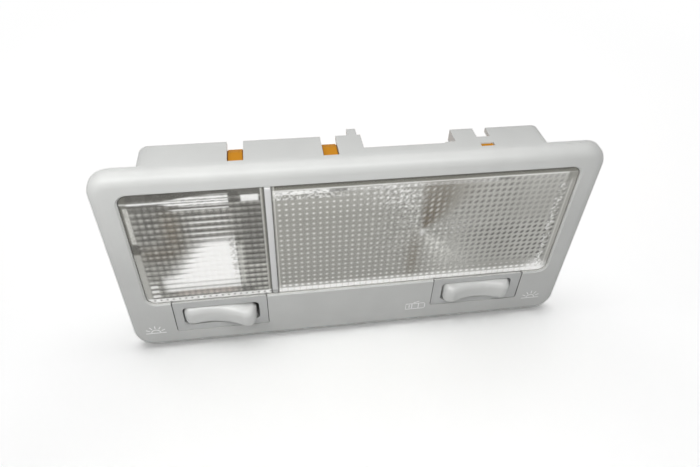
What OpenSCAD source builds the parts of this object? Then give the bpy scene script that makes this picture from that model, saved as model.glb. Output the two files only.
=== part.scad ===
// Car dome light: a reading lamp and a main lamp behind one bezel with two rocker switches.
// X runs along the bezel, Y from the face into the headliner, Z up the short side.
// The origin is the centre of the opening in the headliner, on the seat plane of the rim.

/* [Bezel] */
// Length of the bezel
bezel_w = 190; // [184:1:210]
// Height of the bezel
bezel_h = 91.6; // [89:0.2:100]
// Depth of the rim, from the face to the headliner
rim_d = 6; // [5.8:0.1:8]
// Wall of the bezel
bezel_t = 2.4; // [2.2:0.1:2.8]
// Corner radius of the bezel, seen from the front
corner_r = 9; // [9:0.2:11]
// Radius of the rolled front edge
roll_r = 4.4; // [3:0.1:4.4]

/* [Lens opening] */
// Width of the bezel's border beside the opening
side_border = 9.7; // [8:0.1:12]
// Height of the border above the opening
top_border = 8.3; // [7.3:0.1:9.8]
// Height of the border under the switches
low_border = 9.6; // [8.6:0.1:10.6]
// Corner radius of the opening
open_r = 4; // [3:0.1:5]
// Chamfer around the opening's front edge
open_chamfer = 0.7; // [0.3:0.1:0.9]
// Width of the reading lamp's part of the opening
reading_w = 50.6; // [46:0.1:54]
// Width of the finger
finger_w = 2.3; // [2:0.1:3]
// Space between the finger's tip and the bottom of the opening
finger_tip = 1; // [0.8:0.1:2]

/* [Box behind the bezel] */
// Distance from the bezel's ends to the box, before its shift
box_inset = 15; // [13:0.5:17]
// Shift of the box to the hook end
box_shift = -1; // [-2:0.5:0]
// Wall of the box
box_t = 2; // [1.6:0.1:2.4]
// Depth of the box behind the headliner
box_d = 22; // [21:0.5:26]
// Corner radius of the box
box_r = 4.5; // [3:0.1:6]
// Thickness of the ledges and partitions
ledge_t = 2; // [1.6:0.1:2.2]
// Overlap of the ledge under the edge of each lens
ledge_w = 2.2; // [1.8:0.1:2.6]
// Wall around the edge of the lenses
ring_t = 1.4; // [1:0.1:1.5]

/* [Notches in the top wall] */
// Distance from the finger to the notch over the reading lamp
notch_a_off = 10.95; // [8:0.05:14]
// Place of the middle notch
notch_b_x = -8.8; // [-12:0.2:-6]
// Width of both notches
notch_w = 6; // [5:0.1:7]
// Bottom of the notches behind the headliner
notch_y = 5; // [4:0.1:6]
// Place of the hook window
window_x = 52.6; // [50:0.2:54]
// Width of the hook window
window_w = 5.4; // [5:0.1:6]
// Far edge of the hook window
window_end = 11.3; // [10.5:0.1:12]
// Width of the bar that the hook catches
bar_w = 4.5; // [3:0.1:5]
// Start of the low part of the top wall
low_from = 4.1; // [3:0.1:5]
// End of the low part of the top wall
low_to = 40.5; // [39:0.1:42]
// Depth that is left of the low part
low_y = 12.8; // [11:0.1:14]
// Length of the small step beside the low part
step_w = 4.2; // [3:0.1:5]
// Height of that step
step_h = 0.7; // [0.4:0.1:1.2]
// Place of the guide tab
tab_x = 0.9; // [0.5:0.1:1.8]
// Width of the guide tab
tab_w = 3.6; // [3:0.1:4]
// Length of the guide tab beyond the box
tab_h = 4.4; // [2:0.1:6]

/* [Lenses] */
// Thickness of the lens edge
lens_t = 2.2; // [2:0.05:2.4]
// Thickness of the lens in front of its optics
lens_skin = 1.3; // [1:0.1:1.5]
// Width of the smooth border of each lens
lens_border = 2.4; // [2:0.1:3]
// Pitch of the flutes in the main lens
flute_pitch = 2.54; // [2.4:0.02:3.4]
// Height of the flutes
flute_h = 0.5; // [0.3:0.05:0.6]
// Pitch of the ribs in the reading lens
rib_pitch = 2.75; // [2.5:0.05:3.5]
// Height of the ribs
rib_h = 0.5; // [0.3:0.05:0.6]
// Gap between a lens and its opening
lens_gap = 0.15; // [0.1:0.05:0.3]
// Width of the lens clips
clip_w = 4.8; // [4:0.1:6]
// Thickness of the lens clips
clip_t = 1.2; // [1:0.1:1.3]

/* [Reflectors] */
// Wall of the reflectors
reflector_t = 1; // [0.8:0.1:1.2]
// Depth of both bowls behind the headliner
bowl_y = 12.5; // [11.5:0.1:13.5]
// Radius of the long bowl
main_bowl_r = 110; // [90:1:140]
// Radius of the square bowl
reading_bowl_r = 45; // [38:1:60]
// Space beside the square bowl for the bulb holder
holder_room = 11.6; // [10.6:0.1:13.1]

/* [Orange carrier] */
// Wall of the carrier
carrier_t = 1.6; // [1.2:0.1:2]
// Floor of the carrier behind the headliner
carrier_y = 15; // [14.8:0.1:16]
// Front edge of the carrier's wall
carrier_from = 8; // [7:0.1:10]
// Back edge of the carrier's wall
carrier_to = 19.2; // [18.6:0.1:20.5]
// Gap between the carrier and the box
carrier_gap = 0.3; // [0.2:0.05:0.4]
// Height of the lugs in the notches
lug_h = 1.2; // [0.8:0.1:1.6]

/* [Connector] */
// Place of the connector
plug_x = 22; // [20:0.5:24]
// Width of the connector
plug_w = 26; // [24:0.5:30]
// Depth of the connector
plug_d = 8; // [7.6:0.1:10]
// Top of the connector
plug_top = 31; // [28:0.5:31]
// Length of the connector
plug_len = 13; // [12:0.5:16]
// Wall of the connector
plug_t = 1.2; // [1:0.1:1.5]
// Spacing of the blades
blade_pitch = 8; // [7:0.1:8]
// Width of a blade
blade_w = 4.8; // [4:0.1:5.5]
// Thickness of the busbars and blades
strip_t = 0.8; // [0.6:0.1:1]
// Width of the busbars
strip_w = 5; // [4.4:0.1:5.5]

/* [Bulbs] */
// Height of both bulbs above the centre
bulb_z = 9.5; // [8.5:0.1:10.5]
// Depth of both bulbs behind the headliner
bulb_y = 4.5; // [4:0.1:5]
// Place of the main bulb
main_bulb_x = 26.5; // [25:0.1:28]
// Radius of the main bulb's glass
main_glass_r = 5; // [4.5:0.1:5.3]
// Length of the main bulb
main_bulb_len = 41; // [39:0.5:43]
// Length of its glass between the caps
main_glass_len = 26; // [24:0.5:28]
// Radius of its caps
cap_r = 4; // [3.6:0.1:4.3]
// Radius of the reading bulb's glass
reading_glass_r = 5; // [4.5:0.1:5.2]
// Length of the reading bulb
reading_bulb_len = 26.8; // [25:0.1:28]
// Width of its wedge
wedge_w = 9.2; // [8.5:0.1:9.5]
// Thickness of its wedge
wedge_t = 2.5; // [2.2:0.1:2.8]
// Length of its wedge
wedge_len = 8; // [7:0.1:9]
// Wall of the glass
glass_t = 0.6; // [0.4:0.05:0.8]
// Thickness of the contact springs
spring_t = 0.5; // [0.4:0.05:0.6]
// Width of the contact springs
spring_w = 8; // [7:0.1:9]

/* [Switches] */
// Distance from the bezel's end to the middle of the reading switch
reading_bay_end = 38.3; // [37:0.1:39.5]
// Width of the reading switch
reading_bay_w = 39; // [36:0.1:41]
// Height of the reading switch
reading_bay_h = 17.7; // [17:0.1:18]
// Border of the reading switch beside its rocker
reading_rim_x = 3.7; // [3.4:0.1:4.5]
// Border of the reading switch above and below its rocker
reading_rim_z = 3.6; // [2.8:0.1:4]
// Distance from the bezel's end to the middle of the main switch
main_bay_end = 40.4; // [39:0.1:42]
// Width of the main switch
main_bay_w = 40.4; // [37:0.1:42]
// Height of the main switch
main_bay_h = 16.1; // [16:0.1:17.7]
// Border of the main switch beside its rocker
main_rim_x = 4.4; // [3.4:0.1:5]
// Border of the main switch above and below its rocker
main_rim_z = 2.8; // [2.7:0.1:3.4]
// Gap around a switch panel
panel_gap = 0.25; // [0.15:0.05:0.35]
// Seat behind the edge of a switch panel
bay_ledge = 1.3; // [1:0.1:1.3]
// Wall of the switch boxes
case_t = 1.2; // [1:0.1:1.3]
// Height of the rocker's ends above the bezel's face
rocker_rise = 3.7; // [3:0.1:4.2]
// Height of the rocker's waist above the bezel's face
rocker_waist = 1.6; // [1:0.1:2.2]
// Radius of the rocker's ends
rocker_end_r = 3.6; // [3:0.1:4]
// Radius of the rocker's long edges
rocker_edge_r = 2.2; // [1.6:0.1:2.6]
// Radius of the rocker's corners, seen from the front
rocker_corner_r = 2; // [1:0.1:2.4]
// Wall of the rocker
rocker_t = 1.4; // [1:0.1:1.6]
// Gap between a rocker's end and its slot
slot_end_gap = 0.8; // [0.7:0.05:1]
// Gap between a rocker's side and its slot
slot_side_gap = 0.3; // [0.2:0.05:0.35]
// Tilt of a rocker to either side
rocker_tilt = 10; // [6:0.5:11]
// Depth of the rocker's pivot behind the face
pivot_d = 3.8; // [3.6:0.1:4.2]
// Radius of the rocker's pivot pins
pivot_r = 1.2; // [1:0.05:1.4]
// Radial clearance of the pivot pins
pivot_gap = 0.05; // [0.02:0.01:0.09]
// Radius of a plunger
plunger_r = 1.45; // [1.2:0.05:1.5]
// Distance from the pivot to the plunger's tip
plunger_reach = 5.85; // [5.4:0.05:6.2]
// Half the length of a seesaw contact
seesaw_half = 7; // [6.4:0.1:7.4]
// Tilt of a seesaw contact to either side
seesaw_tilt = 6; // [4:0.5:7]
// Running gap between moving pieces
run_gap = 0.3; // [0.25:0.05:0.4]
// Width of the switch terminals
terminal_w = 4.4; // [4:0.1:4.8]
// Thickness of the switch terminals
terminal_t = 0.6; // [0.5:0.05:0.8]

/* [Fixings] */
// Thickness of the headliner that the lamp grips
headliner_t = 1.6; // [1:0.1:3]
// Length of the fixed hooks
hook_len = 5.5; // [4:0.1:6.5]
// Width of the fixed hooks
hook_w = 8; // [6:0.5:10]
// Distance of the fixed hooks from the middle
hook_z = 22; // [18:0.5:26]
// Thickness of the retaining spring
clip_spring_t = 0.6; // [0.5:0.05:0.8]
// Width of the retaining spring
clip_spring_w = 15; // [12:0.5:18]
// Bulge of the retaining spring beyond the box
clip_spring_out = 7; // [5:0.1:8]
// Bend radius of the retaining spring
clip_spring_r = 1.6; // [1.3:0.1:2]
// Length of the retaining spring behind the headliner
clip_spring_len = 17; // [15:0.5:19]

/* [Hidden] */
$fn = 48;

// Depth positions, from the face backwards
face_y = -rim_d;
plate_y = face_y + bezel_t;
lens_y = plate_y - lens_t;
seat_y = plate_y + reflector_t;
ledge_y = seat_y + ledge_t;
carrier_back = carrier_y + carrier_t;
return_h = 3;
relief_y = 12;

// Edges of the lens opening and the box
bay_h = max(reading_bay_h, main_bay_h);
open_x = bezel_w / 2 - side_border;
open_top = bezel_h / 2 - top_border;
open_low = bezel_h / 2 - low_border - bay_h;
open_mid = (open_top - open_low) / 2;
bay_low = open_low + bay_h + bay_ledge;
box_w = bezel_w - 2 * box_inset;
box_top = open_top + box_t;
box_low = bay_low + box_t;
in_left = box_shift - box_w / 2 + box_t;
in_right = box_shift + box_w / 2 - box_t;
out_left = in_left - box_t;
out_right = in_right + box_t;
finger_left = -open_x + reading_w;
finger_right = finger_left + finger_w;
finger_x = finger_left + finger_w / 2;
divider_left = finger_left - ledge_w;
divider_right = finger_right + ledge_w;
notch_a_x = finger_x - notch_a_off;

// Lens outlines
lens_top = open_top - lens_gap;
lens_low = -open_low + lens_gap;
reading_from = -open_x + lens_gap;
reading_to = finger_left - lens_gap;
main_from = finger_right + lens_gap;
main_to = open_x - lens_gap;
clip_z = open_top - lens_gap - clip_t;
clip_slot = 0.3;
clip_play = 0.1;
clip_nose = 0.7;
clip_nose_t = 0.6;
clip_tip = 1.6;
toe_gap = 0.1;
bead_lift = 0.05;
bead_foot = 0.2;

// Bowls of the reflectors, inside the ledges
bowl_gap = 0.3;
bowl_top = open_top - ledge_w - bowl_gap;
bowl_low = -open_low + ledge_t + bowl_gap;
main_bowl_from = divider_right + bowl_gap;
main_bowl_to = in_right - bowl_gap;
reading_bowl_from = in_left + carrier_gap + carrier_t + bowl_gap;
reading_bowl_to = divider_left - holder_room + reflector_t;

// Switches
reading_bay_x = reading_bay_end - bezel_w / 2;
main_bay_x = bezel_w / 2 - main_bay_end;
reading_slot = [reading_bay_w - 2 * reading_rim_x, reading_bay_h - 2 * reading_rim_z];
main_slot = [main_bay_w - 2 * main_rim_x, main_bay_h - 2 * main_rim_z];
pivot_y = face_y + pivot_d;
pin_end_gap = 0.1;
tip_y = pivot_y + plunger_reach;
seesaw_y = tip_y + run_gap;
seesaw_t = 0.5;
pip_h = 0.4;
pip_x = seesaw_half - 1;
fulcrum_y = seesaw_y + seesaw_t + run_gap;
head_y = seesaw_y + seesaw_t + pip_h + pip_x * sin(seesaw_tilt) + run_gap;
case_floor = head_y + terminal_t;
case_back = case_floor + case_t;
skirt_d = 2.8;
stem_t = 1.6;
stem_end = 2;
crown_t = 0.6;
bore_floor = -1.4;
bore_gap = 0.1;
plunger_from = 0.8;
spring_wire = 0.2;
pip_r = 0.9;
pip_tip_r = 0.6;
head_half = 1.2;
snap_h = 0.7;
snap_w = 6;
snap_back = 3;
reading_z = -open_low - reading_bay_h / 2;
main_z = -open_low - main_bay_h / 2;
tail_out = 0.8;
tail_y = carrier_back + strip_t + tail_out;

// Connector and busbars
plug_y = carrier_back;
plug_low = plug_top - plug_len;
blade_y = plug_y + plug_d / 2;
blade_low = plug_low + plug_t;
blade_drop = 4.6;
blade_top = plug_top - blade_drop;
blade_foot = 1.5;
strip_gap = 0.15;
rail_gap = 0.5;
lane_w = 4;
lane_rise = 5;
tab_half = 1.4;
tab_reach = 0.5;
feed_top = reading_z - terminal_w / 2 - 0.9;
feed_low = feed_top - strip_w + 0.6;
door_z = plug_low - strip_w / 2 - rail_gap;
door_off = 14;
door_x = main_bay_x + door_off;

// Bulbs and their contacts
spring_x = main_bulb_len / 2;
cap_len = (main_bulb_len - main_glass_len) / 2;
tip_r = 1.2;
tip_h = 3;
holder_from = reading_bowl_to + 0.3;
holder_to = divider_left - 0.6;
wedge_out = 1.6;
wedge_end = holder_from + wedge_len - wedge_out;
reading_tip = wedge_end - reading_bulb_len;
wedge_gap = 0.1;
wedge_stop = 0.5;
holder_t = 1.6;
holder_half = 6;
contact_room = 1.5;
contact_off = wedge_t / 2 + terminal_t / 2 + wedge_gap;
lead_r = 0.25;

// Hooks and the guides of the retaining spring
root_in = 0.5;
hook_t = 1.2;
hook_nose = 1;
hook_back = 4.5;
guide_from = 3;
guide_len = 13;
guide_t = 1.4;
guide_gap = 0.1;
guide_side_gap = 0.2;
lip_w = 1.4;
lip_t = 1;

// A slab between two depths, from an outline in X and Z
module slab(y0, y1) {
    translate([0, y1, 0]) rotate([90, 0, 0]) linear_extrude(y1 - y0) children();
}

// A bar along X, from a section in Y and Z
module along_x(x0, x1) {
    translate([x0, 0, 0]) rotate([90, 0, 90]) linear_extrude(x1 - x0) children();
}

// A bar along Z, from a section in X and Y
module along_z(z0, z1) {
    translate([0, 0, z0]) linear_extrude(z1 - z0) children();
}

// A rectangle between two corners
module rect(x0, x1, z0, z1) {
    translate([x0, z0]) square([x1 - x0, z1 - z0]);
}

// A rectangle between two corners, with round corners
module round_rect(x0, x1, z0, z1, r) {
    rect(x0 + r, x1 - r, z0, z1);
    rect(x0, x1, z0 + r, z1 - r);
    for (x = [x0 + r, x1 - r], z = [z0 + r, z1 - r]) translate([x, z]) circle(r);
}

// A block whose edge follows a half section, drawn outwards and forwards from y1
module edged_block(w, h, cr, y0, y1) {
    sx = w / 2 - cr;
    sz = h / 2 - cr;
    slab(y0, y1) rect(-sx, sx, -sz, sz);
    for (m = [0, 1]) mirror([m, 0, 0]) {
        translate([sx, y1, 0]) along_z(-sz, sz) mirror([0, 1]) children();
        for (n = [0, 1]) mirror([0, 0, n])
            translate([sx, y1, sz]) rotate([90, 0, 0]) rotate_extrude(angle = 90) children();
    }
    for (n = [0, 1]) mirror([0, 0, n])
        translate([0, y1, sz]) rotate([0, -90, 0]) along_z(-sx, sx) mirror([0, 1]) children();
}

// A block with round corners and a rolled front edge
module rolled_block(w, h, cr, rr, y0, y1) {
    edged_block(w, h, cr, y0, y1) rolled_section(cr, rr, y1 - y0);
}

// A block with round corners that flares out at the front by c
module flared_block(w, h, cr, c, y0, y1) {
    d = y1 - y0;
    edged_block(w, h, cr, y0, y1) polygon([[0, 0], [cr, 0], [cr, d - 2 * c], [cr + 2 * c, d], [0, d]]);
}

// Half section of the rolled edge: outwards, then forwards
module rolled_section(cr, rr, d) {
    square([cr - rr, d]);
    square([cr, d - rr]);
    translate([cr - rr, d - rr]) intersection() {
        circle(rr);
        square(rr);
    }
}

module housing() {
    color("gainsboro") {
        difference() {
            union() {
                bezel_shell();
                lens_ledges();
                bay_ledges();
                box_walls();
                partitions();
            }
            front_openings();
        }
        finger();
        fixed_hooks();
        spring_guides();
    }
}

module bezel_shell() {
    difference() {
        rolled_block(bezel_w, bezel_h, corner_r, roll_r, face_y, 0);
        rolled_block(
            bezel_w - 2 * bezel_t, bezel_h - 2 * bezel_t,
            corner_r - bezel_t, roll_r - bezel_t, plate_y, 1
        );
    }
}

module lens_ledges() {
    slab(plate_y, ledge_y) difference() {
        round_rect(
            -open_x - ring_t, open_x + ring_t,
            -open_low - ring_t, open_top + ring_t, open_r + ring_t
        );
        rect(in_left, divider_left, -open_low + ledge_t, open_top - ledge_w);
        rect(divider_right, in_right, -open_low + ledge_t, open_top - ledge_w);
    }
}

module bay_ledges() {
    slab(plate_y, plate_y + ledge_t) {
        bay_ledge(reading_bay_x, reading_bay_w, reading_bay_h);
        bay_ledge(main_bay_x, main_bay_w, main_bay_h);
    }
}

module bay_ledge(x, w, h) {
    difference() {
        rect(x - w / 2 - bay_ledge, x + w / 2 + bay_ledge, -bay_low, -open_low);
        rect(
            x - w / 2 + bay_ledge, x + w / 2 - bay_ledge,
            -open_low - h + bay_ledge, -open_low - ring_t
        );
    }
}

// Openings cut from the front: the lens recess, both switch bays and the clip slots
module front_openings() {
    translate([0, 0, open_mid]) flared_block(
        2 * open_x, open_top + open_low, open_r, open_chamfer,
        face_y - open_chamfer, seat_y
    );
    slab(face_y - 1, plate_y) {
        bay_outline(reading_bay_x, reading_bay_w, reading_bay_h);
        bay_outline(main_bay_x, main_bay_w, main_bay_h);
    }
    slab(seat_y - 1, ledge_y + 1)
        for (x = [notch_a_x, notch_b_x, window_x])
            rect(
                x - clip_w / 2 - clip_slot, x + clip_w / 2 + clip_slot,
                clip_z - clip_slot, open_top
            );
}

module bay_outline(x, w, h) {
    round_rect(x - w / 2, x + w / 2, -open_low - h, -open_low + open_r, 1);
}

module box_walls() {
    difference() {
        union() {
            slab(plate_y, box_d) difference() {
                round_rect(out_left, out_right, -box_low, box_top, box_r);
                round_rect(in_left, in_right, -bay_low, open_top, box_r - box_t);
            }
            slab(box_d - 1, box_d + tab_h)
                rect(tab_x - tab_w / 2, tab_x + tab_w / 2, open_top, box_top);
            top_returns();
        }
        top_cuts();
        bottom_cuts();
    }
}

// Return wall at the end of the low part
module top_returns() {
    slab(low_y - 1, box_d)
        rect(low_to, low_to + box_t, open_top - return_h, box_top);
}

module top_cuts() {
    z0 = open_top - 0.01;
    z1 = box_top + 1;
    for (x = [notch_a_x, notch_b_x])
        slab(notch_y, box_d + 1) rect(x - notch_w / 2, x + notch_w / 2, z0, z1);
    slab(notch_y, window_end)
        rect(window_x - window_w / 2, window_x + window_w / 2, z0, z1);
    slab(window_end + bar_w, box_d + 1)
        rect(window_x - window_w / 2, window_x + window_w / 2, z0, z1);
    slab(low_y + step_h, box_d + 1) rect(low_from, low_to, z0, z1);
    slab(low_y, box_d + 1) rect(low_from, low_to - step_w, z0, z1);
}

module bottom_cuts() {
    for (x = [notch_a_x, window_x])
        slab(notch_y, window_end)
            rect(x - window_w / 2, x + window_w / 2, -box_low - 1, -bay_low + 0.01);
}

// Walls between the two lamps, and between the lamps and the switches
module partitions() {
    slab(seat_y, carrier_from)
        rect(in_left - 1, in_right + 1, -open_low, -open_low + ledge_t);
    slab(seat_y, carrier_from)
        rect(finger_left, finger_right, -open_low, open_top + 1);
}

module finger() {
    r = finger_w / 2;
    tip = -open_low + finger_tip;
    slab(lens_y, seat_y) {
        rect(finger_left, finger_right, tip + r, open_top + 0.5);
        translate([finger_x, tip + r]) circle(r);
    }
}

// Fixed hooks that reach behind the headliner at the left end
module fixed_hooks() {
    for (z = [-hook_z, hook_z]) along_z(z - hook_w / 2, z + hook_w / 2) polygon([
        [out_left + root_in, headliner_t],
        [out_left - hook_len, headliner_t],
        [out_left - hook_len, headliner_t + hook_t],
        [out_left - hook_nose, headliner_t + hook_back],
        [out_left + root_in, headliner_t + hook_back]
    ]);
}

// Two guides with lips that hold the retaining spring on the right end wall
module spring_guides() {
    slot = clip_spring_t + guide_gap;
    h = clip_spring_w / 2 + guide_side_gap;
    for (m = [0, 1]) mirror([0, 0, m]) translate([out_right, 0, 0]) {
        translate([-root_in, guide_from, h]) cube([root_in + slot + lip_t, guide_len, guide_t]);
        translate([slot, guide_from, h - lip_w]) cube([lip_t, guide_len, lip_w + guide_gap]);
    }
}

module reading_lens() {
    color("whitesmoke") {
        lens_frame(reading_from, reading_to, true);
        reading_optics();
        lens_clip(notch_a_x);
        lens_toe(reading_to, 1);
    }
}

module main_lens() {
    color("whitesmoke") {
        lens_frame(main_from, main_to, false);
        main_optics();
        lens_clip(notch_b_x);
        lens_clip(window_x);
        lens_toe(main_from, -1);
    }
}

// Smooth border of a lens, with two corners that follow the opening
module lens_frame(x0, x1, left) {
    r = open_r - lens_gap;
    slab(lens_y, plate_y) difference() {
        union() {
            round_rect(x0, x1, lens_low, lens_top, r);
            rect(left ? x1 - r : x0, left ? x1 : x0 + r, lens_low, lens_top);
        }
        lens_window(x0, x1);
    }
    slab(lens_y, lens_y + lens_skin) lens_window(x0, x1);
}

module lens_window(x0, x1) {
    rect(
        x0 + lens_border, x1 - lens_border,
        lens_low + lens_border, lens_top - lens_border
    );
}

// Small corner of a lens that closes the space under the finger's tip
module lens_toe(x, side) {
    z1 = -open_low + finger_tip - lens_gap;
    root = x - side * lens_border / 2;
    tip = x + side * (finger_w / 2 + lens_gap - toe_gap);
    slab(lens_y, plate_y) rect(min(root, tip), max(root, tip), lens_low, z1);
}

// Clip that goes through the ledge and hooks behind it
module lens_clip(x) {
    reach = ledge_y + clip_play;
    along_x(x - clip_w / 2, x + clip_w / 2) polygon([
        [plate_y - root_in, clip_z],
        [reach, clip_z],
        [reach, clip_z - clip_nose],
        [reach + clip_nose_t, clip_z - clip_nose],
        [reach + clip_tip, clip_z],
        [reach + clip_tip, lens_top],
        [plate_y - root_in, lens_top]
    ]);
}

// Ribs along the reading lens
module reading_optics() {
    x0 = reading_from + lens_border;
    x1 = reading_to - lens_border;
    z0 = lens_low + lens_border;
    z1 = lens_top - lens_border;
    along_x(x0, x1) translate([lens_y + lens_skin, z0])
        mirror([1, 0]) rotate(90) bead_row(z1 - z0, rib_pitch, rib_h);
}

// Flutes across the main lens
module main_optics() {
    x0 = main_from + lens_border;
    x1 = main_to - lens_border;
    z0 = lens_low + lens_border;
    z1 = lens_top - lens_border;
    along_z(z0, z1) translate([x0, lens_y + lens_skin])
        bead_row(x1 - x0, flute_pitch, flute_h);
}

// Section of a row of low round beads, with a foot that enters the lens behind it
module bead_row(length, pitch, h) {
    n = floor(length / pitch);
    p = length / n;
    r = (p * p / 4 + h * h) / (2 * h);
    intersection() {
        for (i = [0:n - 1]) translate([(i + 0.5) * p, h - r + bead_lift]) circle(r, $fn = 96);
        translate([0, -bead_foot]) square([length, bead_foot + 2 * h]);
    }
}

module reading_reflector() {
    color("silver") difference() {
        union() {
            reflector_flange(reading_from, reading_to);
            reflector_bowl(
                reading_bowl_from, reading_bowl_to, reading_bowl_r,
                (reading_bowl_from + reading_bowl_to) / 2, 0
            );
        }
        reflector_bowl(
            reading_bowl_from, reading_bowl_to, reading_bowl_r,
            (reading_bowl_from + reading_bowl_to) / 2, reflector_t
        );
        slab(plate_y - 1, seat_y + 1)
            rect(holder_from, divider_left - 0.8, bowl_low, bowl_top);
        reflector_slots([notch_a_x]);
        translate([reading_bowl_to, bulb_y, bulb_z]) rotate([0, 90, 0])
            cylinder(h = 4 * reflector_t, r = reading_glass_r + 0.8, center = true);
    }
}

module main_reflector() {
    color("silver") difference() {
        union() {
            reflector_flange(main_from, main_to);
            reflector_bowl(main_bowl_from, main_bowl_to, main_bowl_r, main_bulb_x, 0);
        }
        reflector_bowl(main_bowl_from, main_bowl_to, main_bowl_r, main_bulb_x, reflector_t);
        reflector_slots([notch_b_x, window_x]);
        for (s = [-1, 1])
            slab(0, bowl_y + 5)
                rect(
                    main_bulb_x + s * spring_x - 2.2, main_bulb_x + s * spring_x + 2.2,
                    bulb_z - spring_w / 2 - 0.4, bulb_z + spring_w / 2 + 0.4
                );
    }
}

module reflector_flange(x0, x1) {
    r = open_r - lens_gap;
    inner = x0 > finger_x;
    slab(plate_y, seat_y) {
        round_rect(x0, x1, lens_low, lens_top, r);
        rect(inner ? x0 : x1 - r, inner ? x0 + r : x1, lens_low, lens_top);
    }
}

// Inside or outside of a bowl: a rectangular well that ends on a sphere
module reflector_bowl(x0, x1, r, cx, t) {
    intersection() {
        slab(plate_y - (t > 0 ? 1 : 0), bowl_y + 2 * reflector_t)
            round_rect(x0 + t, x1 - t, bowl_low + t, bowl_top - t, 3);
        translate([cx, bowl_y - r, open_mid])
            sphere(r + (t > 0 ? 0 : reflector_t), $fn = 120);
    }
}

module reflector_slots(places) {
    slab(plate_y - 1, seat_y + 1)
        for (x = places)
            rect(
                x - clip_w / 2 - clip_slot, x + clip_w / 2 + clip_slot,
                clip_z - clip_slot, lens_top + 1
            );
}

module bulb_carrier() {
    color("darkorange") difference() {
        union() {
            slab(carrier_y, carrier_back) carrier_outline(0);
            slab(carrier_from, carrier_to) difference() {
                carrier_outline(0);
                carrier_outline(carrier_t);
            }
            carrier_lug(notch_a_x);
            carrier_lug(notch_b_x);
            carrier_hook();
            mirror([0, 0, 1]) translate([0, 0, bay_low - open_top]) carrier_hook();
            plug_shroud();
        }
        carrier_slots();
        reflector_relief();
        plug_relief();
    }
}

module carrier_outline(inset) {
    i = carrier_gap + inset;
    difference() {
        round_rect(
            in_left + i, in_right - i, -bay_low + i, open_top - i,
            box_r - box_t - 0.3
        );
        rect(
            low_from - 1 - inset, low_to + box_t + carrier_gap + inset,
            open_top - return_h - carrier_gap - inset, open_top
        );
    }
}

// The wall under the low part starts behind the long reflector
module reflector_relief() {
    slab(carrier_from - 1, relief_y)
        rect(low_from - 3, low_to + box_t + 3, bowl_top - 4, open_top - carrier_t - 0.6);
}

// The wall over the connector is cut away for the harness plug
module plug_relief() {
    slab(carrier_back, carrier_to + 1)
        rect(plug_x - plug_w / 2 - 1, plug_x + plug_w / 2 + 1, plug_top + 0.01, open_top);
}

module carrier_lug(x) {
    z = open_top - carrier_gap;
    w = notch_w / 2 - carrier_gap;
    along_x(x - w, x + w) polygon([
        [carrier_from - 2, z - carrier_t],
        [carrier_from - 2, z + lug_h],
        [carrier_to - 3.2, z + lug_h],
        [carrier_to, z + lug_h - 0.8],
        [carrier_to, z - carrier_t]
    ]);
}

// Snap hook: a tongue under the bar with a nose in the window
module carrier_hook() {
    z = open_top - carrier_gap;
    w = window_w / 2 - carrier_gap;
    along_x(window_x - w, window_x + w) polygon([
        [notch_y + 0.4, z - carrier_t],
        [notch_y + 0.4, z],
        [notch_y + 2.4, z + 1.9],
        [window_end - 0.2, z + 1.9],
        [window_end - 0.2, z],
        [carrier_to, z],
        [carrier_to, z - carrier_t]
    ]);
}

module plug_shroud() {
    difference() {
        slab(plug_y - 0.1, plug_y + plug_d)
            rect(plug_x - plug_w / 2, plug_x + plug_w / 2, plug_low, plug_top);
        slab(plug_y + plug_t, plug_y + plug_d - plug_t)
            rect(
                plug_x - plug_w / 2 + plug_t, plug_x + plug_w / 2 - plug_t,
                plug_low + plug_t, plug_top + 1
            );
        for (i = [-1:1]) translate([plug_x + i * blade_pitch, blade_y, plug_low])
            cube([blade_w + 2 * strip_gap, strip_t + 2 * strip_gap, 4 * plug_t], center = true);
    }
}

// Slots in the carrier's floor for the contact springs, the holder and the terminals
module carrier_slots() {
    slab(carrier_y - 1, carrier_back + 0.01) {
        for (s = [-1, 1])
            slot_at(main_bulb_x + s * spring_x, bulb_z, spring_t, spring_w / 2);
        for (s = [-1, 1])
            slot_at(
                (holder_from + holder_to) / 2, bulb_z + s * contact_off,
                terminal_w, terminal_t
            );
        for (x = [-pip_x, 0, pip_x])
            slot_at(reading_bay_x + x, reading_z, terminal_t, terminal_w);
        for (x = [-pip_x, 0, pip_x])
            slot_at(main_bay_x + x, main_z, terminal_t, terminal_w);
    }
}

module slot_at(x, z, w, h) {
    g = strip_gap;
    rect(x - w / 2 - g, x + w / 2 + g, z - h / 2 - g, z + h / 2 + g);
}

module main_bulb_glass() {
    color("aliceblue") translate([main_bulb_x, bulb_y, bulb_z]) rotate([0, 90, 0]) difference() {
        cylinder(h = main_glass_len, r = main_glass_r, center = true);
        cylinder(h = main_glass_len + 1, r = main_glass_r - glass_t, center = true);
    }
}

module main_bulb_caps() {
    color("lightsteelblue")
        for (m = [0, 1]) translate([main_bulb_x, bulb_y, bulb_z]) mirror([m, 0, 0])
            rotate([90, 0, 90]) translate([0, 0, main_glass_len / 2]) rotate_extrude() polygon([
                [0, 0],
                [main_glass_r, 0],
                [main_glass_r, 0.6],
                [cap_r, 1.4],
                [cap_r, cap_len - tip_h - 0.4],
                [tip_r, cap_len - 0.4],
                [tip_r * 0.7, cap_len],
                [0, cap_len]
            ]);
}

module main_bulb_filament() {
    color("dimgray") translate([main_bulb_x, bulb_y, bulb_z]) rotate([0, 90, 0])
        cylinder(h = main_glass_len, r = 0.35, center = true);
}

module festoon_spring_left() { color("goldenrod") festoon_spring(1); }

module festoon_spring_right() { color("goldenrod") festoon_spring(-1); }

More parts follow.
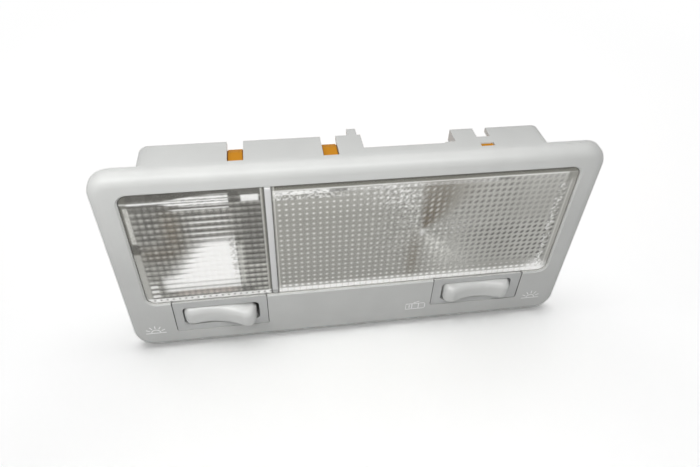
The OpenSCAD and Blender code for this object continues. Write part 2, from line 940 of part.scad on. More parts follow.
// A bent strip with a hole that takes the cone of the bulb's cap
module festoon_spring(side) {
    x = main_bulb_x - side * spring_x;
    t = spring_t;
    difference() {
        union() {
            translate([x, 0, 0]) mirror([side > 0 ? 0 : 1, 0, 0])
                along_z(bulb_z - spring_w / 2, bulb_z + spring_w / 2) polygon([
                    [-t / 2, carrier_y],
                    [-t / 2 - 0.6, carrier_y - 4],
                    [-t / 2, bulb_y + 3],
                    [-t / 2, bulb_y - 2],
                    [-t / 2 - 1.5, bulb_y - 4.2],
                    [t / 2 - 1.4, bulb_y - 4.5],
                    [t / 2, bulb_y - 2.2],
                    [t / 2, bulb_y + 3],
                    [t / 2 - 0.6, carrier_y - 4],
                    [t / 2, carrier_y]
                ]);
            along_z(bulb_z - spring_w / 4, bulb_z + spring_w / 4)
                rect(x - t / 2, x + t / 2, carrier_y - 0.1, tail_y);
        }
        translate([x, bulb_y, bulb_z]) rotate([0, 90, 0])
            cylinder(h = 4, r = tip_r + 0.35, center = true);
    }
}

module reading_bulb_glass() {
    r = reading_glass_r;
    body = reading_bulb_len - wedge_len;
    color("aliceblue") translate([reading_tip, bulb_y, bulb_z]) rotate([90, 0, 90]) {
        difference() {
            rotate_extrude() reading_glass_profile(r, body);
            rotate_extrude() reading_glass_profile(r - glass_t, body - 2 * glass_t, glass_t);
        }
        translate([-wedge_w / 2, -wedge_t / 2, body - 0.5])
            cube([wedge_w, wedge_t, wedge_len + 0.5]);
    }
}

// Half profile of the glass: a round tip, a straight side and a flat neck
module reading_glass_profile(r, len, from = 0) {
    translate([0, from]) {
        intersection() {
            translate([0, r]) circle(r);
            square([r, r]);
        }
        translate([0, r - 0.01]) square([r, len - r - 1.5]);
        translate([0, len - 2]) polygon([[0, 0], [r, 0], [r - 1.5, 2], [0, 2]]);
    }
}

module reading_bulb_filament() {
    reach = reading_bulb_len - wedge_len - glass_t - 10;
    color("dimgray") translate([reading_tip + 10, bulb_y, bulb_z]) {
        cylinder(h = 5, r = 0.35, center = true);
        for (s = [-1, 1]) translate([0, 0, s * 2.2]) rotate([0, 90, 0])
            cylinder(h = reach, r = lead_r);
    }
}

module reading_bulb_holder() {
    mid = (holder_from + holder_to) / 2;
    color("ivory") difference() {
        union() {
            translate([holder_from, bulb_y, bulb_z]) rotate([0, 90, 0])
                cylinder(h = holder_to - holder_from, r = wedge_w / 2 + holder_t);
            slab(bulb_y, carrier_y)
                rect(holder_from, holder_to, bulb_z - holder_half, bulb_z + holder_half);
        }
        translate([
            wedge_end - wedge_len + wedge_stop,
            bulb_y - wedge_w / 2 - wedge_gap,
            bulb_z - wedge_t / 2 - contact_room
        ])
            cube([
                wedge_len - wedge_stop + wedge_gap,
                wedge_w + 2 * wedge_gap,
                wedge_t + 2 * contact_room
            ]);
        for (s = [-1, 1]) slab(bulb_y - 4, carrier_y + 1)
            slot_at(mid, bulb_z + s * contact_off, terminal_w, terminal_t);
    }
}

module reading_bulb_contacts() {
    mid = (holder_from + holder_to) / 2;
    w = terminal_w / 2;
    t = terminal_t / 2;
    color("goldenrod") for (s = [-1, 1]) {
        z = bulb_z + s * contact_off;
        slab(bulb_y - 3.5, tail_y) rect(mid - w, mid + w, z - t, z + t);
    }
}

// A stamped strip on the carrier's back, with slots for what passes through it
module busbar(slots) {
    slab(carrier_back, carrier_back + strip_t) difference() {
        children();
        for (s = slots) slot_at(s[0], s[1], s[2], s[3]);
    }
}

// The end of a busbar: up from the carrier's back, then into the connector as a blade
module blade(x) {
    y = blade_y - strip_t / 2;
    z = plug_low - blade_foot;
    along_x(x - blade_w / 2, x + blade_w / 2) {
        rect(carrier_back, carrier_back + strip_t, z - 2 * blade_foot, z);
        rect(carrier_back, y + strip_t, z - strip_t, z);
        rect(y, y + strip_t, z - strip_t, blade_top);
    }
}

module ground_busbar() {
    x = plug_x - blade_pitch;
    w = strip_w / 2;
    left = (holder_from + holder_to) / 2;
    color("peru") {
        busbar([
            [main_bulb_x - spring_x, bulb_z, spring_t, spring_w / 2],
            [left, bulb_z + contact_off, terminal_w, terminal_t]
        ]) {
            rect(left + lane_w + rail_gap, x + w, bulb_z - w, bulb_z + w);
            rect(
                left - lane_w, left + lane_w + 2 * rail_gap,
                bulb_z + rail_gap, bulb_z + contact_off + lane_w / 2
            );
            rect(x - w, x + w, bulb_z, plug_low - blade_foot);
        }
        blade(x);
    }
}

module supply_busbar() {
    x = plug_x;
    w = strip_w / 2;
    color("peru") {
        busbar([
            [reading_bay_x, reading_z, terminal_t, terminal_w],
            [main_bay_x, main_z, terminal_t, terminal_w]
        ]) {
            rect(x - w, x + w, feed_low, plug_low - blade_foot);
            rect(reading_bay_x - tab_half, main_bay_x + tab_half, feed_low, feed_top);
            for (bay = [[reading_bay_x, reading_z], [main_bay_x, main_z]])
                rect(
                    bay[0] - tab_half, bay[0] + tab_half,
                    feed_low, bay[1] + terminal_w / 2 + tab_reach
                );
        }
        blade(x);
    }
}

module door_busbar() {
    x = plug_x + blade_pitch;
    w = strip_w / 2;
    color("peru") {
        busbar([[main_bay_x + pip_x, main_z, terminal_t, terminal_w]]) {
            rect(x - w, x + w, door_z - w, plug_low - blade_foot);
            rect(x - w, door_x + w, door_z - w, door_z + w);
            rect(door_x - w, door_x + w, main_z - w, door_z + w);
            rect(
                main_bay_x + pip_x - tab_half, door_x,
                main_z - terminal_w / 2 - tab_reach, main_z + terminal_w / 2 + tab_reach
            );
        }
        blade(x);
    }
}

module main_feed_busbar() {
    x = main_bulb_x + spring_x;
    end = main_bay_x - pip_x;
    z = main_z + lane_rise;
    color("peru") busbar([
        [x, bulb_z, spring_t, spring_w / 2],
        [end, main_z, terminal_t, terminal_w]
    ]) {
        rect(x - lane_w / 2, x + lane_w / 2, z, bulb_z + strip_w / 2);
        rect(min(x - lane_w / 2, end - tab_half), max(x + lane_w / 2, end + tab_half), z, z + lane_w);
        rect(end - tab_half, end + tab_half, main_z - terminal_w / 2 - tab_reach, z + lane_w);
    }
}

module reading_feed_busbar() {
    x = reading_bay_x + pip_x;
    left = (holder_from + holder_to) / 2;
    low = reading_z + lane_rise;
    z = bulb_z - contact_off;
    color("peru") busbar([
        [left, z, terminal_w, terminal_t],
        [x, reading_z, terminal_t, terminal_w]
    ]) {
        rect(left - lane_w, left + lane_w, z - lane_w / 2, z + terminal_t / 2 + 2 * strip_gap);
        rect(left - lane_w, left, low, z);
        rect(min(x - tab_half, left - lane_w), max(x + tab_half, left), low, low + lane_w);
        rect(x - tab_half, x + tab_half, reading_z - terminal_w / 2 - tab_reach, low + lane_w);
    }
}

module reading_switch_body() {
    color("silver")
        switch_body(reading_bay_x, reading_z, reading_bay_w, reading_bay_h, reading_slot, [0, 1]);
}

module main_switch_body() {
    color("silver")
        switch_body(main_bay_x, main_z, main_bay_w, main_bay_h, main_slot, [-1, 0, 1]);
}

// Switch module: a panel with the rocker's slot, and a box behind it
module switch_body(x, z, w, h, slot, ways) {
    g = panel_gap;
    snap = w / 2 - bay_ledge + snap_h;
    snap_y = plate_y + ledge_t + 0.1;
    case_x = slot[0] / 2 + case_t;
    case_z = slot[1] / 2 + case_t;
    translate([x, 0, z]) difference() {
        union() {
            slab(lens_y, plate_y) round_rect(
                -w / 2 + g, w / 2 - g, -h / 2 + g, h / 2 - g / 2, 0.8
            );
            slab(plate_y - 0.1, case_back)
                rect(-case_x, case_x, -case_z, case_z);
            for (m = [0, 1]) mirror([m, 0, 0]) along_z(-snap_w / 2, snap_w / 2) polygon([
                [case_x - case_t / 2, snap_y],
                [snap, snap_y],
                [snap, snap_y + snap_h],
                [case_x, snap_y + snap_back],
                [case_x - case_t / 2, snap_y + snap_back]
            ]);
        }
        slab(face_y - 1, case_floor)
            round_rect(-slot[0] / 2, slot[0] / 2, -slot[1] / 2, slot[1] / 2, rocker_corner_r);
        translate([0, pivot_y, 0])
            cylinder(h = 2 * case_z + 2, r = pivot_r + pivot_gap, center = true);
        slab(case_floor - 1, case_back + 1)
            for (i = ways) slot_at(i * pip_x, 0, terminal_t, terminal_w);
    }
}

// Height of a rocker's top above the face, along its length: round ends, hollow waist
function rocker_top(s, half) = let (
    ends = half - rocker_end_r,
    low = rocker_rise - rocker_end_r,
    rise = rocker_waist - low,
    hollow = (ends * ends + rise * rise - rocker_end_r * rocker_end_r)
        / (2 * (rocker_end_r - rise)),
    touch = ends - rocker_end_r * ends / (hollow + rocker_end_r),
    a = abs(s)
) a < touch
    ? rocker_waist + hollow - sqrt(hollow * hollow - a * a)
    : low + sqrt(max(0, rocker_end_r * rocker_end_r - (a - ends) * (a - ends)));

// Half the rocker's width along its length, less at the round corners
function rocker_side(s, half, wide) = let (
    d = max(0, abs(s) - half + rocker_corner_r)
) wide - rocker_corner_r + sqrt(max(0, rocker_corner_r * rocker_corner_r - d * d));

// One section of the rocker: up one side, over the crown and down the other
function rocker_section(s, top, side, edge) = [
    [s, skirt_d, -side],
    for (a = [180:-15:90]) [s, -top + edge * (1 - sin(a)), edge - side + edge * cos(a)],
    for (a = [90:-15:0]) [s, -top + edge * (1 - sin(a)), side - edge + edge * cos(a)],
    [s, skirt_d, side]
];

// The rocker's body: sections from end to end, closed by the skirt
module rocker_body(half, wide) {
    steps = 30;
    sections = [
        for (i = [0:steps])
            let (s = -half * cos(180 * i / steps), side = rocker_side(s, half, wide))
                rocker_section(s, rocker_top(s, half), side, min(rocker_edge_r, 0.9 * side))
    ];
    n = len(sections[0]);
    points = [for (p = sections) each p];
    sides = [
        for (i = [0:steps - 1], k = [0:n - 1])
            let (a = i * n + k, b = i * n + (k + 1) % n)
                each [[a, b, b + n], [a, b + n, a + n]]
    ];
    polyhedron(points, concat(sides, [
        [for (k = [n - 1:-1:0]) k],
        [for (k = [0:n - 1]) steps * n + k]
    ]));
}

// A rocker about its pivot, in its slot: the body, a stem for the plunger and two pins
module rocker(x, z, tilt, slot) {
    half = slot[0] / 2 - slot_end_gap;
    wide = slot[1] / 2 - slot_side_gap;
    pin_end = slot[1] / 2 + case_t - pin_end_gap;
    y0 = face_y - pivot_y;
    stem_r = plunger_r + stem_t;
    translate([x, pivot_y, z]) rotate([0, 0, tilt]) {
        difference() {
            translate([0, y0, 0]) rocker_body(half, wide);
            translate([0, y0 + crown_t, 0]) slab(0, skirt_d + rocker_t)
                rect(-half + rocker_t, half - rocker_t, -wide + rocker_t, wide - rocker_t);
        }
        difference() {
            slab(y0 + root_in, stem_end) rect(-stem_r, stem_r, -wide, wide);
            translate([0, bore_floor, 0]) rotate([-90, 0, 0])
                cylinder(h = 2 * stem_end - bore_floor, r = plunger_r + bore_gap);
        }
        for (m = [0, 1]) mirror([0, 0, m]) translate([0, 0, wide - rocker_t])
            cylinder(h = pin_end - wide + rocker_t, r = pivot_r);
    }
}

module reading_rocker() {
    color("lightgray") rocker(reading_bay_x, reading_z, -rocker_tilt, reading_slot);
}

module main_rocker() { color("lightgray") rocker(main_bay_x, main_z, 0, main_slot); }

// A round-nosed pin that slides in the rocker's stem
module plunger(x, z, tilt) {
    nose = plunger_reach - plunger_r;
    translate([x, pivot_y, z]) rotate([0, 0, tilt]) rotate([-90, 0, 0]) {
        translate([0, 0, plunger_from]) cylinder(h = nose - plunger_from, r = plunger_r);
        translate([0, 0, nose]) sphere(plunger_r);
    }
}

module reading_plunger() { color("ivory") plunger(reading_bay_x, reading_z, -rocker_tilt); }

module main_plunger() { color("ivory") plunger(main_bay_x, main_z, 0); }

// A coil of round wire that pushes the plunger out, as a stack of rings
module plunger_spring(x, z, tilt) {
    turns = 4;
    wire = spring_wire;
    pitch = (plunger_from - bore_floor - 2 * wire) / (turns - 1);
    translate([x, pivot_y, z]) rotate([0, 0, tilt]) rotate([-90, 0, 0])
        translate([0, 0, bore_floor + wire])
            coil(plunger_r - wire - bore_gap, wire, pitch, turns - 1);
}

// A helix of wire: rings of points along the coil, joined into a tube
module coil(r, wire, pitch, turns) {
    per_turn = 16;
    sides = 6;
    steps = turns * per_turn;
    points = [
        for (i = [0:steps], k = [0:sides - 1])
            let (a = 360 * i / per_turn, c = 360 * k / sides, q = r + wire * cos(c))
                [q * cos(a), q * sin(a), pitch * i / per_turn + wire * sin(c)]
    ];
    skin = [
        for (i = [0:steps - 1], k = [0:sides - 1])
            let (a = i * sides + k, b = i * sides + (k + 1) % sides)
                each [[a, b + sides, b], [a, a + sides, b + sides]]
    ];
    polyhedron(points, concat(skin, [
        [for (k = [0:sides - 1]) k],
        [for (k = [sides - 1:-1:0]) steps * sides + k]
    ]));
}

module reading_plunger_spring() {
    color("slategray") plunger_spring(reading_bay_x, reading_z, -rocker_tilt);
}

module main_plunger_spring() {
    color("slategray") plunger_spring(main_bay_x, main_z, 0);
}

// A rocking strip with a contact pip near each end
module seesaw(x, z, tilt) {
    translate([x, fulcrum_y, z]) rotate([0, 0, tilt]) translate([0, -fulcrum_y, 0]) {
        slab(seesaw_y, seesaw_y + seesaw_t)
            rect(-seesaw_half, seesaw_half, -terminal_w / 2, terminal_w / 2);
        for (s = [-1, 1]) translate([s * pip_x, seesaw_y + seesaw_t - 0.1, 0])
            rotate([-90, 0, 0]) cylinder(h = pip_h + 0.1, r1 = pip_r, r2 = pip_tip_r);
    }
}

module reading_seesaw() { color("gold") seesaw(reading_bay_x, reading_z, seesaw_tilt); }

module main_seesaw() { color("gold") seesaw(main_bay_x, main_z, 0); }

// Terminals: a middle blade that carries the seesaw, and side blades with a head
module terminals(x, z, ways) {
    w = terminal_w / 2;
    t = terminal_t / 2;
    translate([x, 0, 0]) for (i = ways) along_z(z - w, z + w) {
        if (i == 0) {
            rect(-t, t, fulcrum_y + t, tail_y);
            translate([0, fulcrum_y + t]) circle(t);
        } else {
            rect(i * pip_x - t, i * pip_x + t, head_y, tail_y);
            rect(i * pip_x - head_half, i * pip_x + head_half, head_y, head_y + terminal_t);
        }
    }
}

module reading_switch_terminals() { color("goldenrod") terminals(reading_bay_x, reading_z, [0, 1]); }

module main_switch_terminals() { color("goldenrod") terminals(main_bay_x, main_z, [-1, 0, 1]); }

// A bent steel strip: a flat leg in its guides, a round back and a bulged free leg
module retaining_spring() {
    t = clip_spring_t;
    r = clip_spring_r;
    x0 = out_right + 0.05;
    back = clip_spring_len;
    crown = x0 + clip_spring_out - t / 2;
    grip = headliner_t + 2.9;
    color("lightslategray") along_z(-clip_spring_w / 2, clip_spring_w / 2) {
        rect(x0, x0 + t, headliner_t + 0.4, back);
        translate([x0 + r, back]) difference() {
            intersection() {
                circle(r);
                translate([-r, 0]) square([2 * r, r]);
            }
            circle(r - t);
        }
        strip([
            [x0 + 2 * r - t / 2, back],
            [crown, grip + 2.5],
            [crown - 0.6, grip],
            [crown - clip_spring_out / 2 + t / 2, headliner_t + 0.4]
        ], t);
    }
}

// A strip of even thickness along a bent line
module strip(line, t) {
    for (i = [0:len(line) - 2]) {
        d = line[i + 1] - line[i];
        translate(line[i]) rotate(atan2(d[1], d[0])) translate([0, -t / 2]) square([norm(d), t]);
    }
    for (p = line) translate(p) circle(t / 2);
}

housing();
reading_lens();
main_lens();
reading_reflector();
main_reflector();
bulb_carrier();
main_bulb_glass();
main_bulb_caps();
main_bulb_filament();
festoon_spring_left();
festoon_spring_right();
reading_bulb_glass();
reading_bulb_filament();
reading_bulb_holder();
reading_bulb_contacts();
ground_busbar();
supply_busbar();
door_busbar();
main_feed_busbar();
reading_feed_busbar();
reading_switch_body();
main_switch_body();
reading_rocker();
main_rocker();
reading_plunger();
main_plunger();
reading_plunger_spring();
main_plunger_spring();
reading_seesaw();
main_seesaw();
reading_switch_terminals();
main_switch_terminals();
retaining_spring();
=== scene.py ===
"""The looks of a car dome light: grey bezel, clear patterned lenses over painted reflections,
rockers and printed signs.

Sizes are in metres in the part's frame: X along the bezel, Y into the headliner, Z up.
The lens patterns with their painted reflections, highlights and shade, and the signs, are drawn
in millimetres of the same frame.
"""
import math
from collections import namedtuple

import bpy
import numpy as np
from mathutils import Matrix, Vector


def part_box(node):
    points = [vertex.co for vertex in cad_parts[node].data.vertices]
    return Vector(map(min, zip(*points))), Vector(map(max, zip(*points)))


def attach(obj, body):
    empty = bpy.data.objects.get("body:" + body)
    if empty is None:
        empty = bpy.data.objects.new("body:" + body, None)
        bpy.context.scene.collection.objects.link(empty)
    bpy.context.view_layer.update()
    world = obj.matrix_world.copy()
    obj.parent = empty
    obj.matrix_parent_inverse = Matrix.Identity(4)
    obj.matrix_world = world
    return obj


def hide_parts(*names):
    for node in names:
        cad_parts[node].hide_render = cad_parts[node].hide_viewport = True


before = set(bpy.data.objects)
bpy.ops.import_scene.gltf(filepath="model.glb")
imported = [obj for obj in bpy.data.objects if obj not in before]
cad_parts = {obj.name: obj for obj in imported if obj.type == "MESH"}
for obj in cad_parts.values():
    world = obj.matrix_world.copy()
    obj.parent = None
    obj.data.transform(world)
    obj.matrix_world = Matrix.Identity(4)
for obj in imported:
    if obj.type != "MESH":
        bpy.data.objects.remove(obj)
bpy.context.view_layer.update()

MM = 0.001
LAMP_BODY = "lamp"

# Faces and outlines of the lamp
FACE_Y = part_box("housing")[0].y
FLOOR_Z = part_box("housing")[0].z
LENS_FRONT_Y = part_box("main_lens")[0].y

# Patterned layers inside the lenses, coloured with painted reflections, highlights and shade
PATTERN_BACK_Y = LENS_FRONT_Y + 0.95 * MM
PATTERN_THIN = 0.1 * MM
LENS_BORDER = 2.4 * MM
LENS_INSET = 0.05 * MM
LENS_CORNER = 3.8 * MM
CORNER_REACH = 6 * MM
MAIN_PITCH = 2.54 * MM
MAIN_RELIEF = 0.15 * MM
RIB_PITCH = 2.75 * MM
RIB_RELIEF = 0.3 * MM
FLUTE_PITCH = 2.45 * MM
FLUTE_RELIEF = 0.08 * MM
CELL_STEPS = 8
BORDER_STEPS = 7

# Marks of the painted reflections on the lenses in millimetres, and waves in radians a
# millimetre: STAR is the middle of the painted bright spot in front of the main bulb, the streaks
# are painted highlights and the pins painted shade
STAR = (26.1, 9.8)
STAR_SIZE = 1.3
LINE_WAVE = 5.2
STREAK_WAVE = 5.1
STREAK_SHIFT = 1.2
PIN_Z = -16.9

# Strip between the lenses
DIVIDER_FROM = -34.6 * MM
DIVIDER_TO = -32.5 * MM
DIVIDER_LOW = -16.2 * MM
DIVIDER_TOP = 37.4 * MM
DIVIDER_CROWN = 0.12 * MM
DIVIDER_SUNK = 0.3 * MM
DIVIDER_STEPS = (13, 40)

# Printed signs: lines on the face, places in millimetres
SIGN_STROKE = 0.42 * MM
SIGN_RISE = 0.05 * MM
ARC_STEPS = 12
READING_SIGN = (-85.1, -34)
DOOR_SIGN = (27.7, -34.2)
MAIN_SIGN = (82.3, -33.8)

# Painted shadow in the gaps at the ends of the switch panels: dark strips just under the face
SEAM_GAP = 0.25 * MM
SEAM_WIDTH = 0.3 * MM
SEAM_SUNK = 0.05 * MM
SEAM_DEPTH = 0.5 * MM
SEAM_CORNER = 0.8 * MM

# Rockers, about their pivots
ROCKER_LENGTH = 30 * MM
ROCKER_WIDTH = 9.9 * MM
ROCKER_RISE = 3.7 * MM
ROCKER_WAIST = 1.6 * MM
ROCKER_END_R = 3.6 * MM
ROCKER_EDGE_R = 3.3 * MM
ROCKER_CORNER_R = 2.2 * MM
ROCKER_SKIRT = 2.8 * MM
ROCKER_STEPS = 97
ROCKER_ARCH_STEPS = 25
PIVOT_DEPTH = 3.8 * MM
READING_PIVOT = (-56.7 * MM, -27.35 * MM)
MAIN_PIVOT = (54.6 * MM, -26.55 * MM)
READING_TILT = math.radians(-10)
MAIN_TILT = 0.0

# Floor, room and camera
FLOOR_HALF = 4.0
FLOOR_SEEN = 2.62
FLOOR_BOUNCE = 1.5
FLOOR_NEAR = 0.25
FLOOR_FAR = 0.5
ROOM_SEEN = 1.0
ROOM_LIGHT = 0.12
CAMERA_PLACE = (-32.28 * MM, -169.61 * MM, 163.0 * MM)
CAMERA_TURN = (47.795, -1.771, -8.453)
CAMERA_LENS = 29.73
CAMERA_SENSOR = 36
CAMERA_NEAR = 0.01
CAMERA_SHIFT = 0.0011

# Softboxes: place, the point they face, width, height, watts
TOP_SOFTBOX = ((0.0, 0.27, 0.9), (0, 0, 0), 1.2, 0.8, 3.45)
STRIP_SOFTBOX = ((0.0, -0.12, 0.155), (0, -0.006, 0.03), 0.24, 0.04, 0.235)
LEFT_SOFTBOX = ((-0.17, -0.1, 0.16), (-0.06, -0.006, 0.03), 0.06, 0.06, 0.15)

# Textures: noise in cycles a metre, bump heights in metres, spreads as shares of the colour
DRIFT_RANGE = (0.3, 0.7)
GRAIN_SCALE = 1900
COARSE_GRAIN = 900
GRAIN_DEPTH = 0.03 * MM
GRAIN_DETAIL = 3.0
MOULD_DRIFT = 60
MOULD_SPREAD = 0.03
DULL_SHINE = 0.08
GLOSS_ROUGHNESS = 0.36
GLOSS_COAT = 0.35
GLOSS_COAT_ROUGHNESS = 0.13
GLOSS_DRIFT = 40
GLOSS_SPREAD = 0.02
GLOSS_WAVE = 220
GLOSS_DEPTH = 0.02 * MM
DRAWN_LINES = 2600
DRAWN_STRETCH = (0.05, 1, 1)
DRAWN_SPREAD = 0.08
DRAWN_DEPTH = 0.01 * MM
CLEAR_ROUGHNESS = 0.04
CLEAR_WAVE = 300
CLEAR_DEPTH = 0.01 * MM
PATTERN_ROUGHNESS = 0.34
MIRROR_FROM = 0.55
MIRROR_TO = 0.9
MIRROR_MOST = 0.85


def linear(r, g, b):
    """A colour written as 8-bit sRGB, as linear RGBA."""
    c = np.array([r, g, b]) / 255
    c = np.where(c <= 0.04045, c / 12.92, ((c + 0.055) / 1.055) ** 2.4)
    return (*[float(v) for v in c], 1.0)


BEZEL_GREY = linear(206, 207, 205)
PANEL_GREY = linear(200, 201, 200)
ROCKER_GREY = linear(216, 217, 215)
DIVIDER_WHITE = linear(216, 216, 216)
CARRIER_ORANGE = linear(201, 136, 34)
SIGN_WHITE = linear(254, 254, 254)
# Dark of the strips that paint the shadow in the switch panels' gaps
GAP_SHADOW_DARK = linear(58, 58, 56)
# Painted view through the lenses: the reflector's grey, pale reflections, shade, olive
# reflections and shade at the borders, brown and pink reflections, and highlights
LENS_REFLECTOR_GREY = linear(160, 159, 153)
LENS_PALE_REFLECTION = linear(244, 244, 240)
LENS_SHADE = linear(64, 62, 56)
LENS_OLIVE_REFLECTION = linear(118, 117, 107)
LENS_BROWN_REFLECTION = linear(116, 104, 84)
LENS_PINK_REFLECTION = linear(214, 200, 194)
LENS_HIGHLIGHT = linear(254, 254, 254)
IVORY = linear(226, 221, 205)
STEEL = linear(168, 170, 172)
BRASS = linear(208, 176, 112)
REFLECTOR = linear(226, 226, 222)
NICKEL = linear(204, 204, 200)
WIRE = linear(110, 110, 112)
CLEAR_TINT = (0.972, 0.97, 0.962, 1)
GLASS_TINT = (0.97, 0.98, 0.98, 1)


def new_material(name, colour, roughness):
    """A Principled material with its constant values on the shader's own sockets."""
    material = bpy.data.materials.new(name)
    material.use_nodes = True
    shader = material.node_tree.nodes["Principled BSDF"]
    shader.inputs["Base Color"].default_value = colour
    shader.inputs["Roughness"].default_value = roughness
    return material, material.node_tree, shader


def bare_material(name):
    """A material with only its output node."""
    material = bpy.data.materials.new(name)
    material.use_nodes = True
    tree = material.node_tree
    tree.nodes.remove(tree.nodes["Principled BSDF"])
    return material, tree


def math_node(tree, operation, first, second):
    """The value of a Math node on two outputs, or on a number and an output."""
    node = tree.nodes.new("ShaderNodeMath")
    node.operation = operation
    for socket, value in zip(node.inputs, (first, second)):
        if isinstance(value, float):
            socket.default_value = value
        else:
            tree.links.new(value, socket)
    return node.outputs["Value"]


def mix_shaders(tree, share, first, second):
    """One shader that gives way to another by a share."""
    mix = tree.nodes.new("ShaderNodeMixShader")
    tree.links.new(share, mix.inputs["Fac"])
    tree.links.new(first, mix.inputs[1])
    tree.links.new(second, mix.inputs[2])
    return mix.outputs["Shader"]


def surface(tree, shader):
    """Makes a shader the material's surface."""
    tree.links.new(shader, tree.nodes["Material Output"].inputs["Surface"])


def direct_ray(tree):
    """1 where the camera looks, straight, in a gloss or through glass, and 0 for other light."""
    path = tree.nodes.new("ShaderNodeLightPath")
    seen = path.outputs["Is Camera Ray"]
    for kind in ("Is Glossy Ray", "Is Transmission Ray"):
        seen = math_node(tree, "MAXIMUM", seen, path.outputs[kind])
    return seen


def object_noise(tree, scale, detail=2.0, stretch=(1, 1, 1)):
    """Noise on Object coordinates: scale is in cycles a metre, stretch multiplies it by axis."""
    place = tree.nodes.new("ShaderNodeTexCoord")
    turn = tree.nodes.new("ShaderNodeMapping")
    turn.inputs["Scale"].default_value = stretch
    noise = tree.nodes.new("ShaderNodeTexNoise")
    noise.inputs["Scale"].default_value = scale
    noise.inputs["Detail"].default_value = detail
    tree.links.new(place.outputs["Object"], turn.inputs["Vector"])
    tree.links.new(turn.outputs["Vector"], noise.inputs["Vector"])
    return noise


def add_bump(tree, shader, noise, distance):
    """Bump from a noise, its distance in metres."""
    bump = tree.nodes.new("ShaderNodeBump")
    bump.inputs["Distance"].default_value = distance
    tree.links.new(noise.outputs["Fac"], bump.inputs["Height"])
    tree.links.new(bump.outputs["Normal"], shader.inputs["Normal"])


def add_mottle(tree, shader, noise, colour, spread):
    """Lets the colour drift a little lighter and darker with the noise."""
    ramp = tree.nodes.new("ShaderNodeValToRGB")
    ends = ramp.color_ramp.elements
    for end, place, level in zip(ends, DRIFT_RANGE, (1 - spread, 1 + spread)):
        end.position = place
        end.color = [min(1, c * level) for c in colour[:3]] + [1]
    tree.links.new(noise.outputs["Fac"], ramp.inputs["Fac"])
    tree.links.new(ramp.outputs["Color"], shader.inputs["Base Color"])


def moulded_plastic(name, colour, roughness, grain=GRAIN_SCALE, shine=0.5):
    """Grained plastic: a fine bump and a slow drift of the colour."""
    material, tree, shader = new_material(name, colour, roughness)
    shader.inputs["Specular IOR Level"].default_value = shine
    add_mottle(tree, shader, object_noise(tree, MOULD_DRIFT), colour, MOULD_SPREAD)
    add_bump(tree, shader, object_noise(tree, grain, GRAIN_DETAIL), GRAIN_DEPTH)
    return material


def gloss_plastic(name, colour):
    """Smooth plastic with a soft sheen and very slight waviness."""
    material, tree, shader = new_material(name, colour, GLOSS_ROUGHNESS)
    shader.inputs["Coat Weight"].default_value = GLOSS_COAT
    shader.inputs["Coat Roughness"].default_value = GLOSS_COAT_ROUGHNESS
    add_mottle(tree, shader, object_noise(tree, GLOSS_DRIFT), colour, GLOSS_SPREAD)
    add_bump(tree, shader, object_noise(tree, GLOSS_WAVE), GLOSS_DEPTH)
    return material


def drawn_metal(name, colour, roughness):
    """Metal with fine lines along the X axis."""
    material, tree, shader = new_material(name, colour, roughness)
    shader.inputs["Metallic"].default_value = 1.0
    lines = object_noise(tree, DRAWN_LINES, stretch=DRAWN_STRETCH)
    add_mottle(tree, shader, lines, colour, DRAWN_SPREAD)
    add_bump(tree, shader, lines, DRAWN_DEPTH)
    return material


def clear_plastic(name, tint, ior):
    """Clear sheet: light passes straight through and the outside shines by Fresnel's law."""
    material, tree = bare_material(name)
    through = tree.nodes.new("ShaderNodeBsdfTransparent")
    through.inputs["Color"].default_value = tint
    shine = tree.nodes.new("ShaderNodeBsdfGlossy")
    shine.inputs["Roughness"].default_value = CLEAR_ROUGHNESS
    law = tree.nodes.new("ShaderNodeFresnel")
    law.inputs["IOR"].default_value = ior
    side = tree.nodes.new("ShaderNodeNewGeometry")
    outside = math_node(tree, "SUBTRACT", 1.0, side.outputs["Backfacing"])
    share = math_node(tree, "MULTIPLY", outside, law.outputs["Fac"])
    surface(tree, mix_shaders(tree, share, through.outputs["BSDF"], shine.outputs["BSDF"]))
    add_bump(tree, shine, object_noise(tree, CLEAR_WAVE), CLEAR_DEPTH)
    return material


def painted_reflection_layer(name):
    """The layer behind the lens: its colour is the piece's own shade attribute, the painted
    reflections, highlights and shade seen through the lens.

    Where that is bright the layer mirrors its surroundings, as the reflector does.
    """
    material, tree, shader = new_material(name, LENS_REFLECTOR_GREY, PATTERN_ROUGHNESS)
    shade = tree.nodes.new("ShaderNodeAttribute")
    shade.attribute_name = "shade"
    tree.links.new(shade.outputs["Color"], shader.inputs["Base Color"])
    light = tree.nodes.new("ShaderNodeRGBToBW")
    mirror = tree.nodes.new("ShaderNodeMapRange")
    mirror.inputs["From Min"].default_value = MIRROR_FROM
    mirror.inputs["From Max"].default_value = MIRROR_TO
    mirror.inputs["To Max"].default_value = MIRROR_MOST
    tree.links.new(shade.outputs["Color"], light.inputs["Color"])
    tree.links.new(light.outputs["Val"], mirror.inputs["Value"])
    tree.links.new(mirror.outputs["Result"], shader.inputs["Metallic"])
    return material


